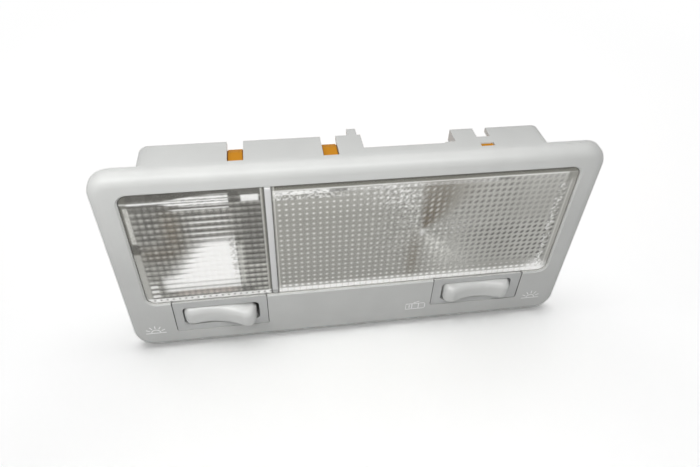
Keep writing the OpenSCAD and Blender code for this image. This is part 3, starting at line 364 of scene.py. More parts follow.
MATERIALS = {
    "housing": moulded_plastic("bezel_plastic", BEZEL_GREY, 0.42),
    "panel": moulded_plastic("panel_plastic", PANEL_GREY, 0.5),
    "rocker": gloss_plastic("rocker_plastic", ROCKER_GREY),
    "carrier": moulded_plastic("carrier_plastic", CARRIER_ORANGE, 0.5, COARSE_GRAIN, DULL_SHINE),
    "clear": clear_plastic("clear_lens", CLEAR_TINT, 1.49),
    "glass": clear_plastic("bulb_glass", GLASS_TINT, 1.5),
    "reflector": drawn_metal("reflector_metal", REFLECTOR, 0.16),
    "steel": drawn_metal("spring_steel", STEEL, 0.3),
    "cap": drawn_metal("cap_metal", NICKEL, 0.28),
    "brass": drawn_metal("brass_strip", BRASS, 0.3),
    "ivory": moulded_plastic("ivory_plastic", IVORY, 0.45),
    "filament": drawn_metal("filament_wire", WIRE, 0.4),
    # Painted reflections, highlights and shade seen through the lenses
    "painted_reflections": painted_reflection_layer("lens_painted_reflections"),
    "divider": gloss_plastic("divider_plastic", DIVIDER_WHITE),
    "sign": moulded_plastic("sign_print", SIGN_WHITE, 0.6),
    # Painted shadow in the switch panels' gaps
    "gap_shadow": moulded_plastic("painted_gap_shadow", GAP_SHADOW_DARK, 0.7),
}

CAD_FINISH = {
    "housing": "housing", "reading_lens": "clear", "main_lens": "clear",
    "reading_reflector": "reflector", "main_reflector": "reflector",
    "bulb_carrier": "carrier", "main_bulb_glass": "glass", "main_bulb_caps": "cap",
    "main_bulb_filament": "filament", "festoon_spring_left": "brass",
    "festoon_spring_right": "brass", "reading_bulb_glass": "glass",
    "reading_bulb_filament": "filament", "reading_bulb_holder": "ivory",
    "reading_bulb_contacts": "brass", "ground_busbar": "brass", "supply_busbar": "brass",
    "door_busbar": "brass", "main_feed_busbar": "brass", "reading_feed_busbar": "brass",
    "reading_switch_body": "panel", "main_switch_body": "panel", "reading_rocker": "rocker",
    "main_rocker": "rocker", "reading_plunger": "ivory", "main_plunger": "ivory",
    "reading_plunger_spring": "steel", "main_plunger_spring": "steel",
    "reading_seesaw": "brass", "main_seesaw": "brass", "reading_switch_terminals": "brass",
    "main_switch_terminals": "brass", "retaining_spring": "steel",
}


def finish_cad_nodes():
    """Gives every CAD node its material."""
    for node, finish in CAD_FINISH.items():
        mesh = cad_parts[node].data
        mesh.materials.clear()
        mesh.materials.append(MATERIALS[finish])


def make_piece(name, points, faces, finish, body, smooth=True):
    """A mesh from an array of points and a list of faces, riding on a body."""
    mesh = bpy.data.meshes.new(name)
    mesh.from_pydata(points.tolist(), [], faces)
    mesh.materials.append(MATERIALS[finish])
    mesh.polygons.foreach_set("use_smooth", np.full(len(mesh.polygons), smooth))
    mesh.update()
    piece = bpy.data.objects.new(name, mesh)
    bpy.context.scene.collection.objects.link(piece)
    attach(piece, body)
    return piece


def as_faces(*quads):
    """Arrays of point numbers, four to a row, as one list of faces."""
    return [tuple(face) for face in np.concatenate(quads).tolist()]


def grid_faces(rows, columns):
    """Quads of a grid of points stored row by row."""
    a = np.arange(rows - 1)[:, None] * columns + np.arange(columns - 1)[None, :]
    return np.stack([a, a + 1, a + columns + 1, a + columns], -1).reshape(-1, 4)


def relief_slab(name, x, z, front, back, shade, finish):
    """A closed slab: y = front on a grid, one flat face at y = back, and sides that join them.

    shade holds a colour for each point of the grid, kept as the piece's shade attribute.
    """
    rows, columns = x.shape
    top = np.stack([x, front, z], -1).reshape(-1, 3)
    low = np.arange(columns)
    right = np.arange(rows) * columns + columns - 1
    high = (rows - 1) * columns + low[::-1]
    left = (np.arange(rows) * columns)[::-1]
    ring = np.concatenate([low[:-1], right[:-1], high[:-1], left[:-1]])
    under = top[ring]
    under[:, 1] = back
    rim = np.arange(len(ring)) + rows * columns
    side = np.stack([ring, rim, np.roll(rim, -1), np.roll(ring, -1)], -1)
    faces = as_faces(grid_faces(rows, columns), side) + [tuple(rim[::-1].tolist())]
    piece = make_piece(name, np.concatenate([top, under]), faces, finish, LAMP_BODY)
    flat = shade.reshape(-1, 4)
    colours = np.concatenate([flat, flat[ring]]).astype(np.float32)
    store = piece.data.attributes.new("shade", "FLOAT_COLOR", "POINT")
    store.data.foreach_set("color", colours.ravel())


def bell(v, centre, width):
    """A bell curve: exp(-((v - centre) / width)^2)."""
    return np.exp(-(((v - centre) / width) ** 2))


def spot(x, z, cx, cz, wx, wz):
    """A soft round spot: exp(-(u^2 + v^2)) with u, v the distances over the widths."""
    return bell(x, cx, wx) * bell(z, cz, wz)


def rise(v, low, high):
    """A smooth step from 0 at low to 1 at high: 3t^2 - 2t^3."""
    t = np.clip((v - low) / (high - low), 0, 1)
    return t * t * (3 - 2 * t)


def fall(v, low, high):
    """A smooth step from 1 at low to 0 at high."""
    return 1 - rise(v, low, high)


def band(v, low, high, soft=0.4):
    """1 between low and high, with soft edges."""
    return rise(v, low - soft, low + soft) * fall(v, high - soft, high + soft)


def wave(v, rate, shift=0.0):
    """A sine wave from 0 to 1: (1 + sin(rate v + shift)) / 2."""
    return 0.5 + 0.5 * np.sin(v * rate + shift)


def scatter(i, j, seed):
    """A number from 0 to 1 for each cell: the fraction of a large sine of its place."""
    v = np.sin(i * 12.9898 + j * 78.233 + seed * 3.7) * 43758.5453
    return v - np.floor(v)


def specks(x, z, across, up, seed):
    """scatter over small rectangles, so many to a millimetre across and up."""
    return scatter(np.floor(x * across), np.floor(z * up), seed)


def mix_colours(base, other, amount):
    """base moved towards other by amount, for arrays of colours."""
    amount = np.clip(amount, 0, 1)[..., None]
    return base * (1 - amount) + np.array(other) * amount


def plain(shape, colour):
    """One colour for every point of a grid."""
    return np.broadcast_to(np.array(colour), (*shape, 4))


def painted(shape, layers):
    """The painted grey of the reflector seen through the lens, with each layer of painted
    reflection, highlight or shade laid over it by its amount, in turn.
    """
    shade = plain(shape, LENS_REFLECTOR_GREY)
    for colour, amount in layers:
        shade = mix_colours(shade, colour, amount)
    return shade


def stops(low, high, pitch):
    """Places along one side of a lens: across a border, through whole cells, across a border.

    Gives the places, and the cell count at each, which is -1 in the borders.
    """
    count = round((high - low - 2 * LENS_BORDER) / pitch)
    inner = np.linspace(low + LENS_BORDER, high - LENS_BORDER, count * CELL_STEPS + 1)
    first = np.linspace(low + LENS_INSET, low + LENS_BORDER, BORDER_STEPS, endpoint=False)
    last = np.linspace(high - LENS_INSET, high - LENS_BORDER, BORDER_STEPS, endpoint=False)
    edge = np.full(BORDER_STEPS, -1.0)
    cells = np.concatenate([edge, np.linspace(0, count, count * CELL_STEPS + 1), edge])
    return np.concatenate([first, inner, last[::-1]]), cells


Cells = namedtuple("Cells", "x z a b i j inside")


def lens_grid(node, pitch_x, pitch_z, round_side):
    """A grid over a lens, its last columns drawn in round two corners as r - sqrt(r^2 - d^2).

    Gives x, z, the place in the cell from -1 to 1 both ways, the cell numbers and a window mask.
    """
    low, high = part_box(node)
    x, u = stops(low.x, high.x, pitch_x)
    z, v = stops(low.z, high.z, pitch_z)
    gx, gz = np.meshgrid(x, z)
    gu, gv = np.meshgrid(u, v)
    inside = (gu >= 0) & (gv >= 0)
    a = np.where(inside, 2 * (gu % 1) - 1, 1)
    b = np.where(inside, 2 * (gv % 1) - 1, 1)
    over = np.abs(gz - (low.z + high.z) / 2) - (high.z - low.z) / 2 + LENS_INSET + LENS_CORNER
    over = np.clip(over, 0, LENS_CORNER)
    drawn = LENS_CORNER - np.sqrt(LENS_CORNER**2 - over**2)
    edge = high.x - LENS_INSET if round_side > 0 else low.x + LENS_INSET
    share = np.clip(1 - np.abs(edge - gx) / CORNER_REACH, 0, 1)
    gx = gx - round_side * drawn * share
    return Cells(gx, gz, a, b, np.floor(gu), np.floor(gv), inside)


Marks = namedtuple("Marks", "x z dot dash pit chance speck")


def main_marks(cells):
    """Masks of the painted light in the main lens's cells, in millimetres: a round dot or a
    slanted dash of painted highlight, or a dark pit of painted shade.

    Each is a bell curve of the place in the cell. chance is one number a cell, speck a finer one.
    """
    x, z = cells.x / MM, cells.z / MM
    a, b, inside = cells.a, cells.b, cells.inside
    size = 0.42 - 0.08 * rise(z, 10, 25)
    dot = bell(a, 0, size) * bell(b, 0.1, 0.8 * size) * inside
    dash = bell(a - 0.5 * b, 0, 0.42) * bell(b, 0, 0.6) * inside
    pit = bell(((a - 0.4 * b) / 0.62) ** 2 + (b / 0.66) ** 2, 0, 1) * inside
    return Marks(x, z, dot, dash, pit, scatter(cells.i, cells.j, 1), specks(x, z, 1.8, 1.8, 7))


def from_star(x, z):
    """The direction from the star in degrees and the distance from it."""
    right, up = x - STAR[0], z - STAR[1]
    return np.degrees(np.arctan2(up, right)), np.hypot(right, up)


def main_field(m):
    """Painted light in the main lens's cells: bright dots of painted highlight, dark pits of
    painted shade right of the star, and painted glitter of bright and dark specks round it.
    """
    x, z = m.x, m.z
    away = from_star(x, z)[1]
    right = rise(x, 31, 47) * rise(z, -14, -7) * (1 - 0.8 * rise(z, 8, 16))
    upper_right = rise(x, 31, 40) * rise(z, 8, 14) * (1 - 0.45 * rise(x, 58, 68))
    pale = 0.3 * right + 0.1 * rise(z, 20, 33) + 0.12 * rise(x, 60, 70)
    lit = 0.85 + 0.4 * rise(z, 17, 26) * (0.6 + 0.4 * m.chance) + 0.2 * fall(z, -15, -6)
    # Painted glitter round the star: bright and dark specks of reflection
    grain = bell(away, 0, 20)
    return [
        (LENS_OLIVE_REFLECTION, 0.05 * m.chance),
        (LENS_PALE_REFLECTION, pale),
        (LENS_HIGHLIGHT, m.dot * lit * (1 - upper_right) * (1 - right)),
        (LENS_PALE_REFLECTION, 0.25 * upper_right),
        (LENS_SHADE, 0.62 * m.pit * upper_right),
        (LENS_SHADE, 0.24 * grain * (m.speck < 0.35)),
        (LENS_PALE_REFLECTION, 0.3 * grain * (m.speck > 0.68)),
        (LENS_SHADE, 0.95 * m.pit * right),
    ]


def ray(turn, away, direction, spread, length):
    """A ray from the star: bell curves of the direction and of the distance, off its middle."""
    return bell(turn, direction, spread) * bell(away, 0, length) * rise(away, 1, 5)


def main_star(m):
    """The painted bright spot in front of the main bulb, with bright rays of painted highlight
    and a dark one of painted shade round it, and a brown painted reflection below it.
    """
    turn, away = from_star(m.x, m.z)
    glow = bell(turn, 4, 20) * bell(away, 11, 9)
    shadow = rise(turn, 32, 72) * fall(turn, 88, 101) * bell(away, 0, 28) * rise(away, 1, 4)
    sparkle = ray(turn, away, direction=118, spread=22, length=34)
    low_ray = ray(turn, away, direction=-50, spread=26, length=34)
    upper = 0.2 + 0.8 * rise(m.z, 19, 29)
    below = spot(m.x, m.z, 23.6, -5, 2.6, 11)
    return [
        (LENS_HIGHLIGHT, 0.9 * glow * m.dot),
        (LENS_BROWN_REFLECTION, 1.05 * shadow),
        (LENS_SHADE, 0.75 * shadow * (0.1 + 0.6 * (m.speck > 0.5) + 0.4 * m.pit)),
        (LENS_PALE_REFLECTION, shadow * m.dash * (0.45 + 0.55 * (m.chance > 0.3))),
        (LENS_BROWN_REFLECTION, 0.6 * below * (1 - 0.7 * m.dot)),
        (LENS_HIGHLIGHT, sparkle * upper * (0.15 + 0.7 * m.dash + 0.7 * (m.speck > 0.66))),
        (LENS_SHADE, 0.4 * sparkle * (m.speck < 0.3)),
        (LENS_PALE_REFLECTION, low_ray * (0.3 + 0.6 * m.dash + 0.25 * (m.speck > 0.55))),
        (LENS_SHADE, 0.12 * low_ray * (m.speck < 0.25)),
        (LENS_HIGHLIGHT, 0.7 * spot(m.x, m.z, *STAR, STAR_SIZE, STAR_SIZE)),
    ]


def main_rows(m):
    """The bright rows of painted highlight and dark rows of painted shade along the main lens's
    top, and the painted highlight along its foot.
    """
    x, z = m.x, m.z
    top = band(z, 32.9, 34.6, 0.25) * (0.85 - 0.6 * rise(x, -14, -6) - 0.15 * rise(x, 50, 56))
    broken = specks(x, z, 1.3, 2.6, 13)
    noisy = band(z, 30.6, 33.2) * fall(x, -12, 0)
    return [
        (LENS_HIGHLIGHT, top * (0.65 + 0.6 * (broken > 0.4))),
        (LENS_HIGHLIGHT, 0.85 * band(z, 34.75, 35.2, 0.15)),
        (LENS_SHADE, 0.45 * top * (broken < 0.22)),
        (LENS_HIGHLIGHT, 0.55 * noisy * (m.speck > 0.6)),
        (LENS_SHADE, 0.3 * noisy * (m.speck < 0.35)),
        (LENS_SHADE, 0.6 * band(z, 33.3, 34.5, 0.3) * band(x, -11.4, -4.6)),
        (LENS_SHADE, 0.45 * band(z, 33.6, 34.7, 0.2) * band(x, 53, 58)),
        (LENS_HIGHLIGHT, band(z, -16.2, -13.8, 0.3) * (0.25 + 1.2 * m.dot)),
        # Painted reflection and shade of the opening's top wall along the lens's top border
        (LENS_OLIVE_REFLECTION, 0.95 * rise(z, 35.2, 35.6)),
        (LENS_SHADE, 0.5 * rise(z, 36.1, 36.5)),
    ]


def main_edges(m):
    """Painted light on the main lens's borders: pale lines at its left, painted glints and a
    bright corner at its right, a painted highlight in beads along its foot and painted shade
    beside the divider.

    A bead is 1 - t^2 with t from -1 to 1 over one cell's width.
    """
    x, z = m.x, m.z
    left = fall(x, -31.4, -31)
    right = rise(x, 80.8, 81.4)
    near_right = band(x, 78.6, 81.8, 0.8) * fall(z, 28, 32)
    glints = specks(x, z, 1.8, 1.8, 2)
    corner = spot(x, z, 80, -15, 5, 3.2)
    foot = fall(z, -16.1, -15.7)
    bead = 1 - (2 * ((x - x.min()) * MM / MAIN_PITCH % 1) - 1) ** 2
    return [
        (LENS_PALE_REFLECTION, left * (0.3 + 0.6 * wave(x, LINE_WAVE))),
        (LENS_OLIVE_REFLECTION, right * (0.25 + 0.4 * rise(z, 29, 34))),
        (LENS_PALE_REFLECTION, 0.5 * band(x, 83, 83.5, 0.2) * fall(z, 30, 33)),
        (LENS_HIGHLIGHT, 0.7 * near_right * (glints > 0.74)),
        (LENS_SHADE, 0.3 * near_right * (glints < 0.25)),
        (LENS_HIGHLIGHT, 0.8 * corner * (0.5 + glints)),
        (LENS_HIGHLIGHT, foot * (0.7 + 0.5 * bead)),
        # Painted shade in the gap beside the divider
        (LENS_SHADE, 0.8 * fall(x, -32, -31.9)),
    ]


def main_relief_and_reflections():
    """Square pillows: (1 - a^2)(1 - b^2) in each cell, a and b from -1 to 1 across it, coloured
    with painted reflections, highlights and shade.
    """
    cells = lens_grid("main_lens", MAIN_PITCH, MAIN_PITCH, 1)
    dome = (1 - cells.a * cells.a) * (1 - cells.b * cells.b) * cells.inside
    front = PATTERN_BACK_Y - PATTERN_THIN - MAIN_RELIEF * dome
    marks = main_marks(cells)
    layers = main_field(marks) + main_star(marks) + main_rows(marks) + main_edges(marks)
    shade = painted(cells.x.shape, layers)
    relief_slab("main_lens_relief_and_reflections", cells.x, cells.z, front, PATTERN_BACK_Y, shade,
                "painted_reflections")


Ribs = namedtuple("Ribs", "x z b i j groove gleam knot flute chance strip short")


def reading_marks(cells):
    """Masks of the painted light in the reading lens's cells, in millimetres, as bell curves of
    the place in them.

    A groove of painted shade lies between two ribs, a gleam of painted highlight on a rib, a
    flute of painted shade between two knots along it. strip is 1 on the plain strip at the lens's
    right and short is 1 on the rest.
    """
    x, z = cells.x / MM, cells.z / MM
    a, b, inside = cells.a, cells.b, cells.inside
    groove = bell(np.abs(b), 1, 0.3) * inside
    gleam = bell(b, 0.3, 0.26) * inside
    knot = bell(a, 0, 0.5) * inside
    flute = bell(np.abs(a), 1, 0.4) * inside
    chance = scatter(cells.i, cells.j, 4)
    strip = rise(x, -47.3, -46.9)
    short = fall(x, -48, -47.4)
    return Ribs(x, z, b, cells.i, cells.j, groove, gleam, knot, flute, chance, strip, short)


def reading_field(m):
    """Painted light in the reading lens's cells: painted shade darker towards the top, two brown
    painted reflections, painted shade in broken grooves and pale painted highlights on the ribs.
    """
    x, z = m.x, m.z
    # Painted shade, darker towards the top
    upper_shade = 0.1 + 0.46 * rise(z, -3, 9) * (1 - 0.35 * rise(x, -66, -56)) - 0.1 * m.strip
    return [
        (LENS_SHADE, upper_shade * (0.5 + m.chance)),
        (LENS_BROWN_REFLECTION, 0.8 * spot(x, z, -69.2, 20, 3.6, 10)),
        (LENS_BROWN_REFLECTION, 0.6 * spot(x, z, -75, 9, 10, 4)),
        (LENS_SHADE, m.groove * (0.42 + 0.4 * m.strip + 0.55 * scatter(m.i, m.j, 8))),
        (LENS_PALE_REFLECTION, m.gleam * (0.16 + 0.45 * m.chance * m.knot + 0.3 * m.strip)),
        (LENS_SHADE, 0.5 * m.flute * (0.3 + 0.7 * scatter(m.i, m.j, 11))),
        (LENS_PALE_REFLECTION, 0.14 * m.knot * (scatter(m.i, m.j, 12) > 0.55) * (1 - m.groove)),
        (LENS_SHADE, 0.35 * m.strip * rise(x, -43.4, -42.6) * (z > 0)),
    ]


def reading_glare(m):
    """The reading lens's slanting painted glare with its tail, a band of painted highlight over
    it and a pink painted reflection, with painted glints and rows of painted shade.
    """
    x, z = m.x, m.z
    slant = x + 0.62 * (9 - z)
    ragged = 1 - 0.5 * rise(x, -50.5, -49) * (specks(x, z, 1.5, 1.5, 9) > 0.45)
    glare = rise(slant, -70, -58) * ragged * (1 - m.strip) * rise(z, -12, -4) * fall(z, 9, 18)
    ribbed = m.groove * (1 - 0.75 * rise(slant, -66, -54))
    above = band(z, 13, 27, 2) * band(x, -63, -47.6, 4)
    tail = rise(x, -78, -75) * (1 - m.strip) * band(z, -12.2, -4, 1.2)
    glint = band(x, -82.2, -79.8 + m.chance, 0.3) * fall(z, -8, -5) * (m.b > -0.1)
    column = band(x, -46.6, -44.9, 0.3) * band(z, -11, 11, 1.5)
    pink = band(z, -14.6, -12, 0.5) * band(x, -72, -49, 3)
    return [
        (LENS_HIGHLIGHT, 1.3 * glare * (1 - 0.75 * ribbed)),
        (LENS_HIGHLIGHT, 0.85 * above * m.gleam),
        (LENS_HIGHLIGHT, 0.85 * tail * (1 - 0.6 * m.groove)),
        (LENS_HIGHLIGHT, 0.75 * glint),
        (LENS_PALE_REFLECTION, 0.45 * column),
        (LENS_PINK_REFLECTION, 0.5 * pink * (0.7 + 0.5 * m.knot)),
        (LENS_SHADE, 0.5 * band(x, -79, -66, 2) * band(z, -15.4, -14.7, 0.25)),
        (LENS_SHADE, 0.35 * band(z, 12, 30, 3) * m.strip),
    ]


def reading_rows(m):
    """The rows along the reading lens's top: a tapering painted highlight between rows of painted
    shade.
    """
    x, z = m.x, m.z
    from_z = 32.5 - 1.5 * rise(x, -74, -62)
    to_z = 33.8 + 1.9 * rise(x, -76, -52)
    taper = rise(z - from_z, -0.25, 0.25) * fall(z - to_z, -0.25, 0.25)
    streaks = wave(z, STREAK_WAVE, STREAK_SHIFT)
    thin = band(z, 29.3, 29.9, 0.2) * m.short * rise(x, -70, -66)
    over = rise(z, 35, 35.4) * fall(z, 36.5, 36.9) * (1 - 0.6 * taper)
    return [
        (LENS_SHADE, 0.5 * rise(z, 29.8, 30.3) * m.short),
        (LENS_HIGHLIGHT, taper * m.short * (streaks + 0.35 * specks(x, z, 0.8, 2, 5))),
        (LENS_HIGHLIGHT, 0.9 * thin),
        (LENS_SHADE, 0.7 * band(x, -47.4, -43.8, 0.3) * band(z, 31.4, 36.6, 0.3)),
        (LENS_HIGHLIGHT, 0.9 * band(x, -43.2, -37, 0.3) * band(z, 31.8, 34.6, 0.3)),
        (LENS_SHADE, 0.6 * over),
    ]


def reading_edges(m):
    """Painted light on the reading lens's borders: pale and olive strips of painted reflection at
    both sides, painted shade beside the divider, and a painted highlight along the foot with one
    dark pin a flute.

    A pin is exp(-(u^2 + v^2)) with u, v the distances from its middle over its widths.
    """
    x, z = m.x, m.z
    left = fall(x, -82.7, -82.2)
    pale_strip = band(x, -84.3, -82.5, 0.2) * band(z, 14.5, 31.6, 0.5)
    right = rise(x, -36.4, -36)
    foot = fall(z, -16, -15.6)
    dark_foot = band(x, -47, -41.8, 0.3) * band(z, -15.2, -13.6, 0.3)
    pin = spot(x * MM / FLUTE_PITCH % 1, z, 0.5, PIN_Z, 0.18, 0.45)
    return [
        (LENS_OLIVE_REFLECTION, 0.45 * left),
        (LENS_PALE_REFLECTION, 0.4 * left * fall(z, 8.5, 9.5)),
        (LENS_PALE_REFLECTION, pale_strip * (0.35 + 0.35 * specks(x, z, 1.6, 1.6, 10))),
        (LENS_SHADE, 0.7 * fall(x, -82.4, -81.4) * band(z, 9.5, 14)),
        (LENS_OLIVE_REFLECTION, 0.75 * right),
        (LENS_PALE_REFLECTION, 0.6 * right * wave(x, LINE_WAVE)),
        (LENS_SHADE, 0.7 * dark_foot),
        (LENS_HIGHLIGHT, foot * (0.84 + 0.3 * (specks(x, z, 0.45, 1.6, 6) > 0.3))),
        (LENS_SHADE, 0.75 * pin),
        # Painted shade in the gap beside the divider
        (LENS_SHADE, 0.8 * rise(x, -35.2, -35.1)),
    ]


def reading_relief_and_reflections():
    """Ribs along X, each a parabola across Z, crossed by shallow flutes across X, coloured with
    painted reflections, highlights and shade.

    The height is (r (1 - b^2) + f (1 - a^2)) in each cell, a and b from -1 to 1 across it.
    """
    cells = lens_grid("reading_lens", FLUTE_PITCH, RIB_PITCH, -1)
    rib = RIB_RELIEF * (1 - cells.b * cells.b)
    flute = FLUTE_RELIEF * (1 - cells.a * cells.a)
    front = PATTERN_BACK_Y - PATTERN_THIN - (rib + flute) * cells.inside
    marks = reading_marks(cells)
    layers = reading_field(marks) + reading_glare(marks)
    layers += reading_rows(marks) + reading_edges(marks)
    shade = painted(cells.x.shape, layers)
    relief_slab("reading_lens_relief_and_reflections", cells.x, cells.z, front, PATTERN_BACK_Y, shade,
                "painted_reflections")


def divider_strip():
    """The light strip between the lenses: across it the face rises as 1 - a^4, a from -1 to 1."""
    across, up = DIVIDER_STEPS
    x, z = np.meshgrid(np.linspace(DIVIDER_FROM, DIVIDER_TO, across),
                       np.linspace(DIVIDER_LOW, DIVIDER_TOP, up))
    a = 2 * (x - DIVIDER_FROM) / (DIVIDER_TO - DIVIDER_FROM) - 1
    front = LENS_FRONT_Y - DIVIDER_CROWN * (1 - a**4)
    shade = plain(x.shape, DIVIDER_WHITE)
    relief_slab("divider_strip", x, z, front, LENS_FRONT_Y + DIVIDER_SUNK, shade,
                "divider")


def stroke(path, width=SIGN_STROKE, front=-SIGN_RISE, back=SIGN_RISE):
    """A flat ribbon along a line on the face: four corners at each point, joined in a ring.

    The line is in millimetres. front and back are depths under the face.
    """
    path = np.array(path) * MM
    step = np.gradient(path, axis=0)
    along = step / np.linalg.norm(step, axis=1)[:, None]
    side = np.stack([-along[:, 1], along[:, 0]], 1) * width / 2
    corners = np.stack([path + side, path - side, path - side, path + side], 1)
    depth = FACE_Y + np.array([front, front, back, back])
    depth = np.broadcast_to(depth, corners.shape[:2])
    points = np.stack([corners[..., 0], depth, corners[..., 1]], -1).reshape(-1, 3)
    n = len(path)
    start = np.arange(n - 1)[:, None] * 4
    k = np.arange(4)[None, :]
    after = (k + 1) % 4
    rings = np.stack([start + k, start + after, start + 4 + after, start + 4 + k], -1)
    ends = np.array([[3, 2, 1, 0], np.arange(4) + 4 * (n - 1)])
    return points, np.concatenate([rings.reshape(-1, 4), ends])


def make_sign(name, strokes, place):
    """A printed sign from lines drawn in millimetres about its place on the face."""
    points, faces, count = [], [], 0
    for path in strokes:
        p, f = stroke(np.array(path, float) + np.array(place))
        points.append(p)
        faces.append(f + count)
        count += len(p)
    points = np.concatenate(points)
    make_piece(name, points, as_faces(*faces), "sign", LAMP_BODY, False)


def gap_shadow_strips(name, node):
    """Painted shadow in the gaps left and right of a switch panel: two dark upright ribbons, sunk
    in the gaps.
    """
    low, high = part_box(node)
    for side, x in (("left", low.x - SEAM_GAP / 2), ("right", high.x + SEAM_GAP / 2)):
        line = np.array([(x, low.z + SEAM_CORNER), (x, high.z)]) / MM
        points, faces = stroke(line, SEAM_WIDTH, SEAM_SUNK, SEAM_DEPTH)
        faces = as_faces(faces)
        make_piece(f"{name}_{side}", points, faces, "gap_shadow", LAMP_BODY, False)


def arc(cz, r, start, end):
    """Points along a circle round (0, cz) between two angles in degrees."""
    turn = np.radians(np.linspace(start, end, ARC_STEPS))
    return np.stack([r * np.cos(turn), cz + r * np.sin(turn)], 1)


def lamp_sign(flip):
    """A lamp dome on a line, with rays over it. With flip at -1 it is drawn right to left."""
    foot = [(-4.2, -2), (4.2, -2)]
    centre_z = -1.9
    dome_r = 1.9
    ray_from = 2.7
    ray_to = 4.4
    lines = [foot, arc(centre_z, dome_r, 172, 8)]
    for angle in (28, 59, 90, 121, 152):
        c, s = math.cos(math.radians(angle)), math.sin(math.radians(angle))
        lines.append([(r * c, centre_z + r * s) for r in (ray_from, ray_to)])
    return [np.array(line) * (flip, 1) for line in lines]


def car_sign():
    """A car seen from above: its outline, the cabin's two windows and an open door."""
    outline = [(-4.3, -1.7), (4, -1.7), (4.4, -1.1), (4.4, 1.1), (4, 1.7), (-4.3, 1.7)]
    return [
        outline + outline[:1],
        [(-2.7, -1), (-2.7, 1)],
        [(-1.5, -1.65), (-1.5, 1.65)],
        [(1.5, -1.65), (1.5, 1.65)],
        [(-0.9, 2.3), (1.7, 3)],
    ]


def rocker_crown(s):
    """Height of the crown over the face: two end circles joined by a hollow circle between."""
    ends = ROCKER_LENGTH / 2 - ROCKER_END_R
    low = ROCKER_RISE - ROCKER_END_R
    waist = ROCKER_WAIST - low
    hollow = (ends**2 + waist**2 - ROCKER_END_R**2) / (2 * (ROCKER_END_R - waist))
    touch = ends - ROCKER_END_R * ends / (hollow + ROCKER_END_R)
    a = np.abs(s)
    middle = ROCKER_WAIST + hollow - np.sqrt(np.maximum(0, hollow**2 - a**2))
    end = low + np.sqrt(np.maximum(0, ROCKER_END_R**2 - (a - ends) ** 2))
    return np.where(a < touch, middle, end)


def rocker_section(s):
    """Depth under the face and place across for each point of a rocker's sections.

    A section rises at the sides and arches over the crown by quarter circles. Its half width
    shrinks round the plan corners as w - r + sqrt(r^2 - d^2).
    """
    over = np.maximum(0, np.abs(s) - (ROCKER_LENGTH / 2 - ROCKER_CORNER_R))
    shrunk = np.sqrt(np.maximum(0, ROCKER_CORNER_R**2 - over**2))
    width = (ROCKER_WIDTH / 2 - ROCKER_CORNER_R + shrunk)[:, None]
    arch = np.radians(np.linspace(180, 0, ROCKER_ARCH_STEPS))
    edge = np.minimum(ROCKER_EDGE_R, width)
    z = np.where(np.cos(arch) < 0, -1, 1) * (width - edge) + edge * np.cos(arch)
    y = -rocker_crown(s)[:, None] + edge * (1 - np.sin(arch))
    skirt = np.full((len(s), 1), ROCKER_SKIRT)
    z = np.concatenate([-width, z, width], 1)
    y = np.concatenate([skirt, y, skirt], 1)
    return np.minimum(y, ROCKER_SKIRT), z


def rocker_surface(name, node, body, pivot, tilt):
    """A rocker's outside: sections along it, turned about the pivot by the tilt it rests at."""
    s = -ROCKER_LENGTH / 2 * np.cos(np.linspace(0, np.pi, ROCKER_STEPS))
    y, z = rocker_section(s)
    y = y + FACE_Y
    x = np.broadcast_to(s[:, None], y.shape)
    rows, columns = x.shape
    pivot_y = FACE_Y + PIVOT_DEPTH
    c, sn = math.cos(tilt), math.sin(tilt)
    px = pivot[0] + x * c - (y - pivot_y) * sn
    py = pivot_y + x * sn + (y - pivot_y) * c
    points = np.stack([px, py, z + pivot[1]], -1).reshape(-1, 3)
    left = np.arange(rows) * columns
    right = left + columns - 1
    under = np.stack([left[:-1], right[:-1], right[1:], left[1:]], -1)
    faces = as_faces(grid_faces(rows, columns)[:, ::-1], under)
    first = np.arange(columns)
    last = (rows - 1) * columns + first[::-1]
    faces += [tuple(first.tolist()), tuple(last.tolist())]
    piece = make_piece(name, points, faces, "rocker", body)
    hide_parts(node)


def grey_diffuse(tree, level):
    """A diffuse shader of one grey level."""
    shader = tree.nodes.new("ShaderNodeBsdfDiffuse")
    shader.inputs["Color"].default_value = (level, level, level, 1)
    return shader.outputs["BSDF"]


def make_floor():
    """A pale floor that shows white to the camera away from the lamp's shadow.

    Beyond the softbox's reach it shows the room's white instead, by its distance from the lamp.
    """
    mesh = bpy.data.meshes.new("floor")
    w = FLOOR_HALF
    corners = [(-w, -w, FLOOR_Z), (w, -w, FLOOR_Z), (w, w, FLOOR_Z), (-w, w, FLOOR_Z)]
    mesh.from_pydata(corners, [], [(0, 1, 2, 3)])
    floor = bpy.data.objects.new("floor", mesh)
    bpy.context.scene.collection.objects.link(floor)
    material, tree = bare_material("pale_floor")
    room = tree.nodes.new("ShaderNodeEmission")
    room.inputs["Strength"].default_value = ROOM_SEEN
    place = tree.nodes.new("ShaderNodeTexCoord")
    reach = tree.nodes.new("ShaderNodeVectorMath")
    reach.operation = "LENGTH"
    fade = tree.nodes.new("ShaderNodeMapRange")
    fade.interpolation_type = "SMOOTHSTEP"
    fade.inputs["From Min"].default_value = FLOOR_NEAR
    fade.inputs["From Max"].default_value = FLOOR_FAR
    tree.links.new(place.outputs["Object"], reach.inputs[0])
    tree.links.new(reach.outputs["Value"], fade.inputs["Value"])
    near = grey_diffuse(tree, FLOOR_SEEN)
    shown = mix_shaders(tree, fade.outputs["Result"], near, room.outputs["Emission"])
    bounce = grey_diffuse(tree, FLOOR_BOUNCE)
    surface(tree, mix_shaders(tree, direct_ray(tree), bounce, shown))
    mesh.materials.append(material)
    return floor


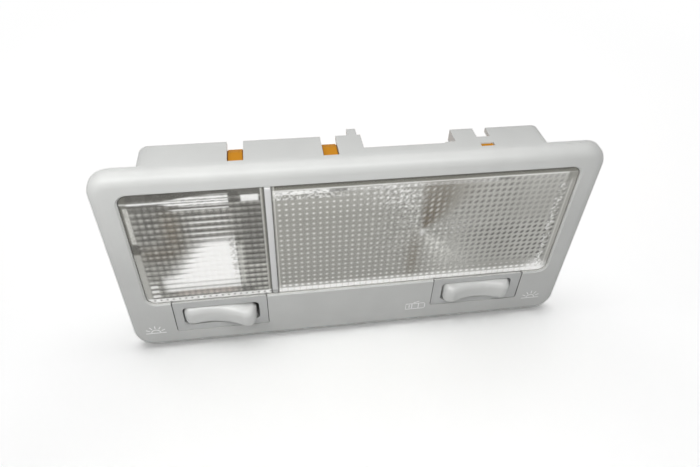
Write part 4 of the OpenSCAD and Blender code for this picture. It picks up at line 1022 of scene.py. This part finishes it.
def make_camera():
    """The photograph's view: a near camera above the lamp and a little to its left."""
    data = bpy.data.cameras.new("camera")
    data.lens = CAMERA_LENS
    data.sensor_width = CAMERA_SENSOR
    data.clip_start = CAMERA_NEAR
    data.shift_y = CAMERA_SHIFT
    camera = bpy.data.objects.new("camera", data)
    camera.location = CAMERA_PLACE
    camera.rotation_euler = [math.radians(a) for a in CAMERA_TURN]
    bpy.context.scene.collection.objects.link(camera)
    bpy.context.scene.camera = camera


def softbox(name, place, target, width, height, watts):
    """An area lamp at a place, facing a target point."""
    data = bpy.data.lights.new(name, "AREA")
    data.shape = "RECTANGLE"
    data.size = width
    data.size_y = height
    data.energy = watts
    lamp = bpy.data.objects.new(name, data)
    away = np.array(place) - np.array(target)
    flat = math.hypot(away[0], away[1])
    lamp.location = place
    lamp.rotation_euler = (math.atan2(flat, away[2]), 0, math.atan2(away[0], -away[1]))
    lamp.visible_camera = False
    bpy.context.scene.collection.objects.link(lamp)
    return lamp


def keep_off(lamp, thing):
    """Leaves one object out of what a lamp lights."""
    group = bpy.data.collections.new(lamp.name + "_off")
    group.objects.link(thing)
    group.collection_objects[0].light_linking.link_state = "EXCLUDE"
    lamp.light_linking.receiver_collection = group


def make_light(floor):
    """A white room, a softbox above, a near strip over the face and a small one at its left."""
    world = bpy.data.worlds.new("white_room")
    world.use_nodes = True
    tree = world.node_tree
    background = tree.nodes["Background"]
    background.inputs["Color"].default_value = (1, 1, 1, 1)
    level = tree.nodes.new("ShaderNodeMapRange")
    level.inputs["To Min"].default_value = ROOM_LIGHT
    level.inputs["To Max"].default_value = ROOM_SEEN
    tree.links.new(direct_ray(tree), level.inputs["Value"])
    tree.links.new(level.outputs["Result"], background.inputs["Strength"])
    bpy.context.scene.world = world
    softbox("top_softbox", *TOP_SOFTBOX)
    for name, values in (("strip_softbox", STRIP_SOFTBOX), ("left_softbox", LEFT_SOFTBOX)):
        keep_off(softbox(name, *values), floor)


finish_cad_nodes()
main_relief_and_reflections()
reading_relief_and_reflections()
divider_strip()
rocker_surface("reading_rocker_cap", "reading_rocker", "reading_rocker", READING_PIVOT,
               READING_TILT)
rocker_surface("main_rocker_cap", "main_rocker", "main_rocker", MAIN_PIVOT, MAIN_TILT)
# Dark strips that paint the shadow in the switch panels' gaps
gap_shadow_strips("reading_gap_shadow", "reading_switch_body")
gap_shadow_strips("main_gap_shadow", "main_switch_body")
make_sign("reading_sign", lamp_sign(1), READING_SIGN)
make_sign("door_sign", car_sign(), DOOR_SIGN)
make_sign("main_sign", lamp_sign(-1), MAIN_SIGN)
floor = make_floor()
make_camera()
make_light(floor)
bpy.context.scene.view_settings.view_transform = "Standard"
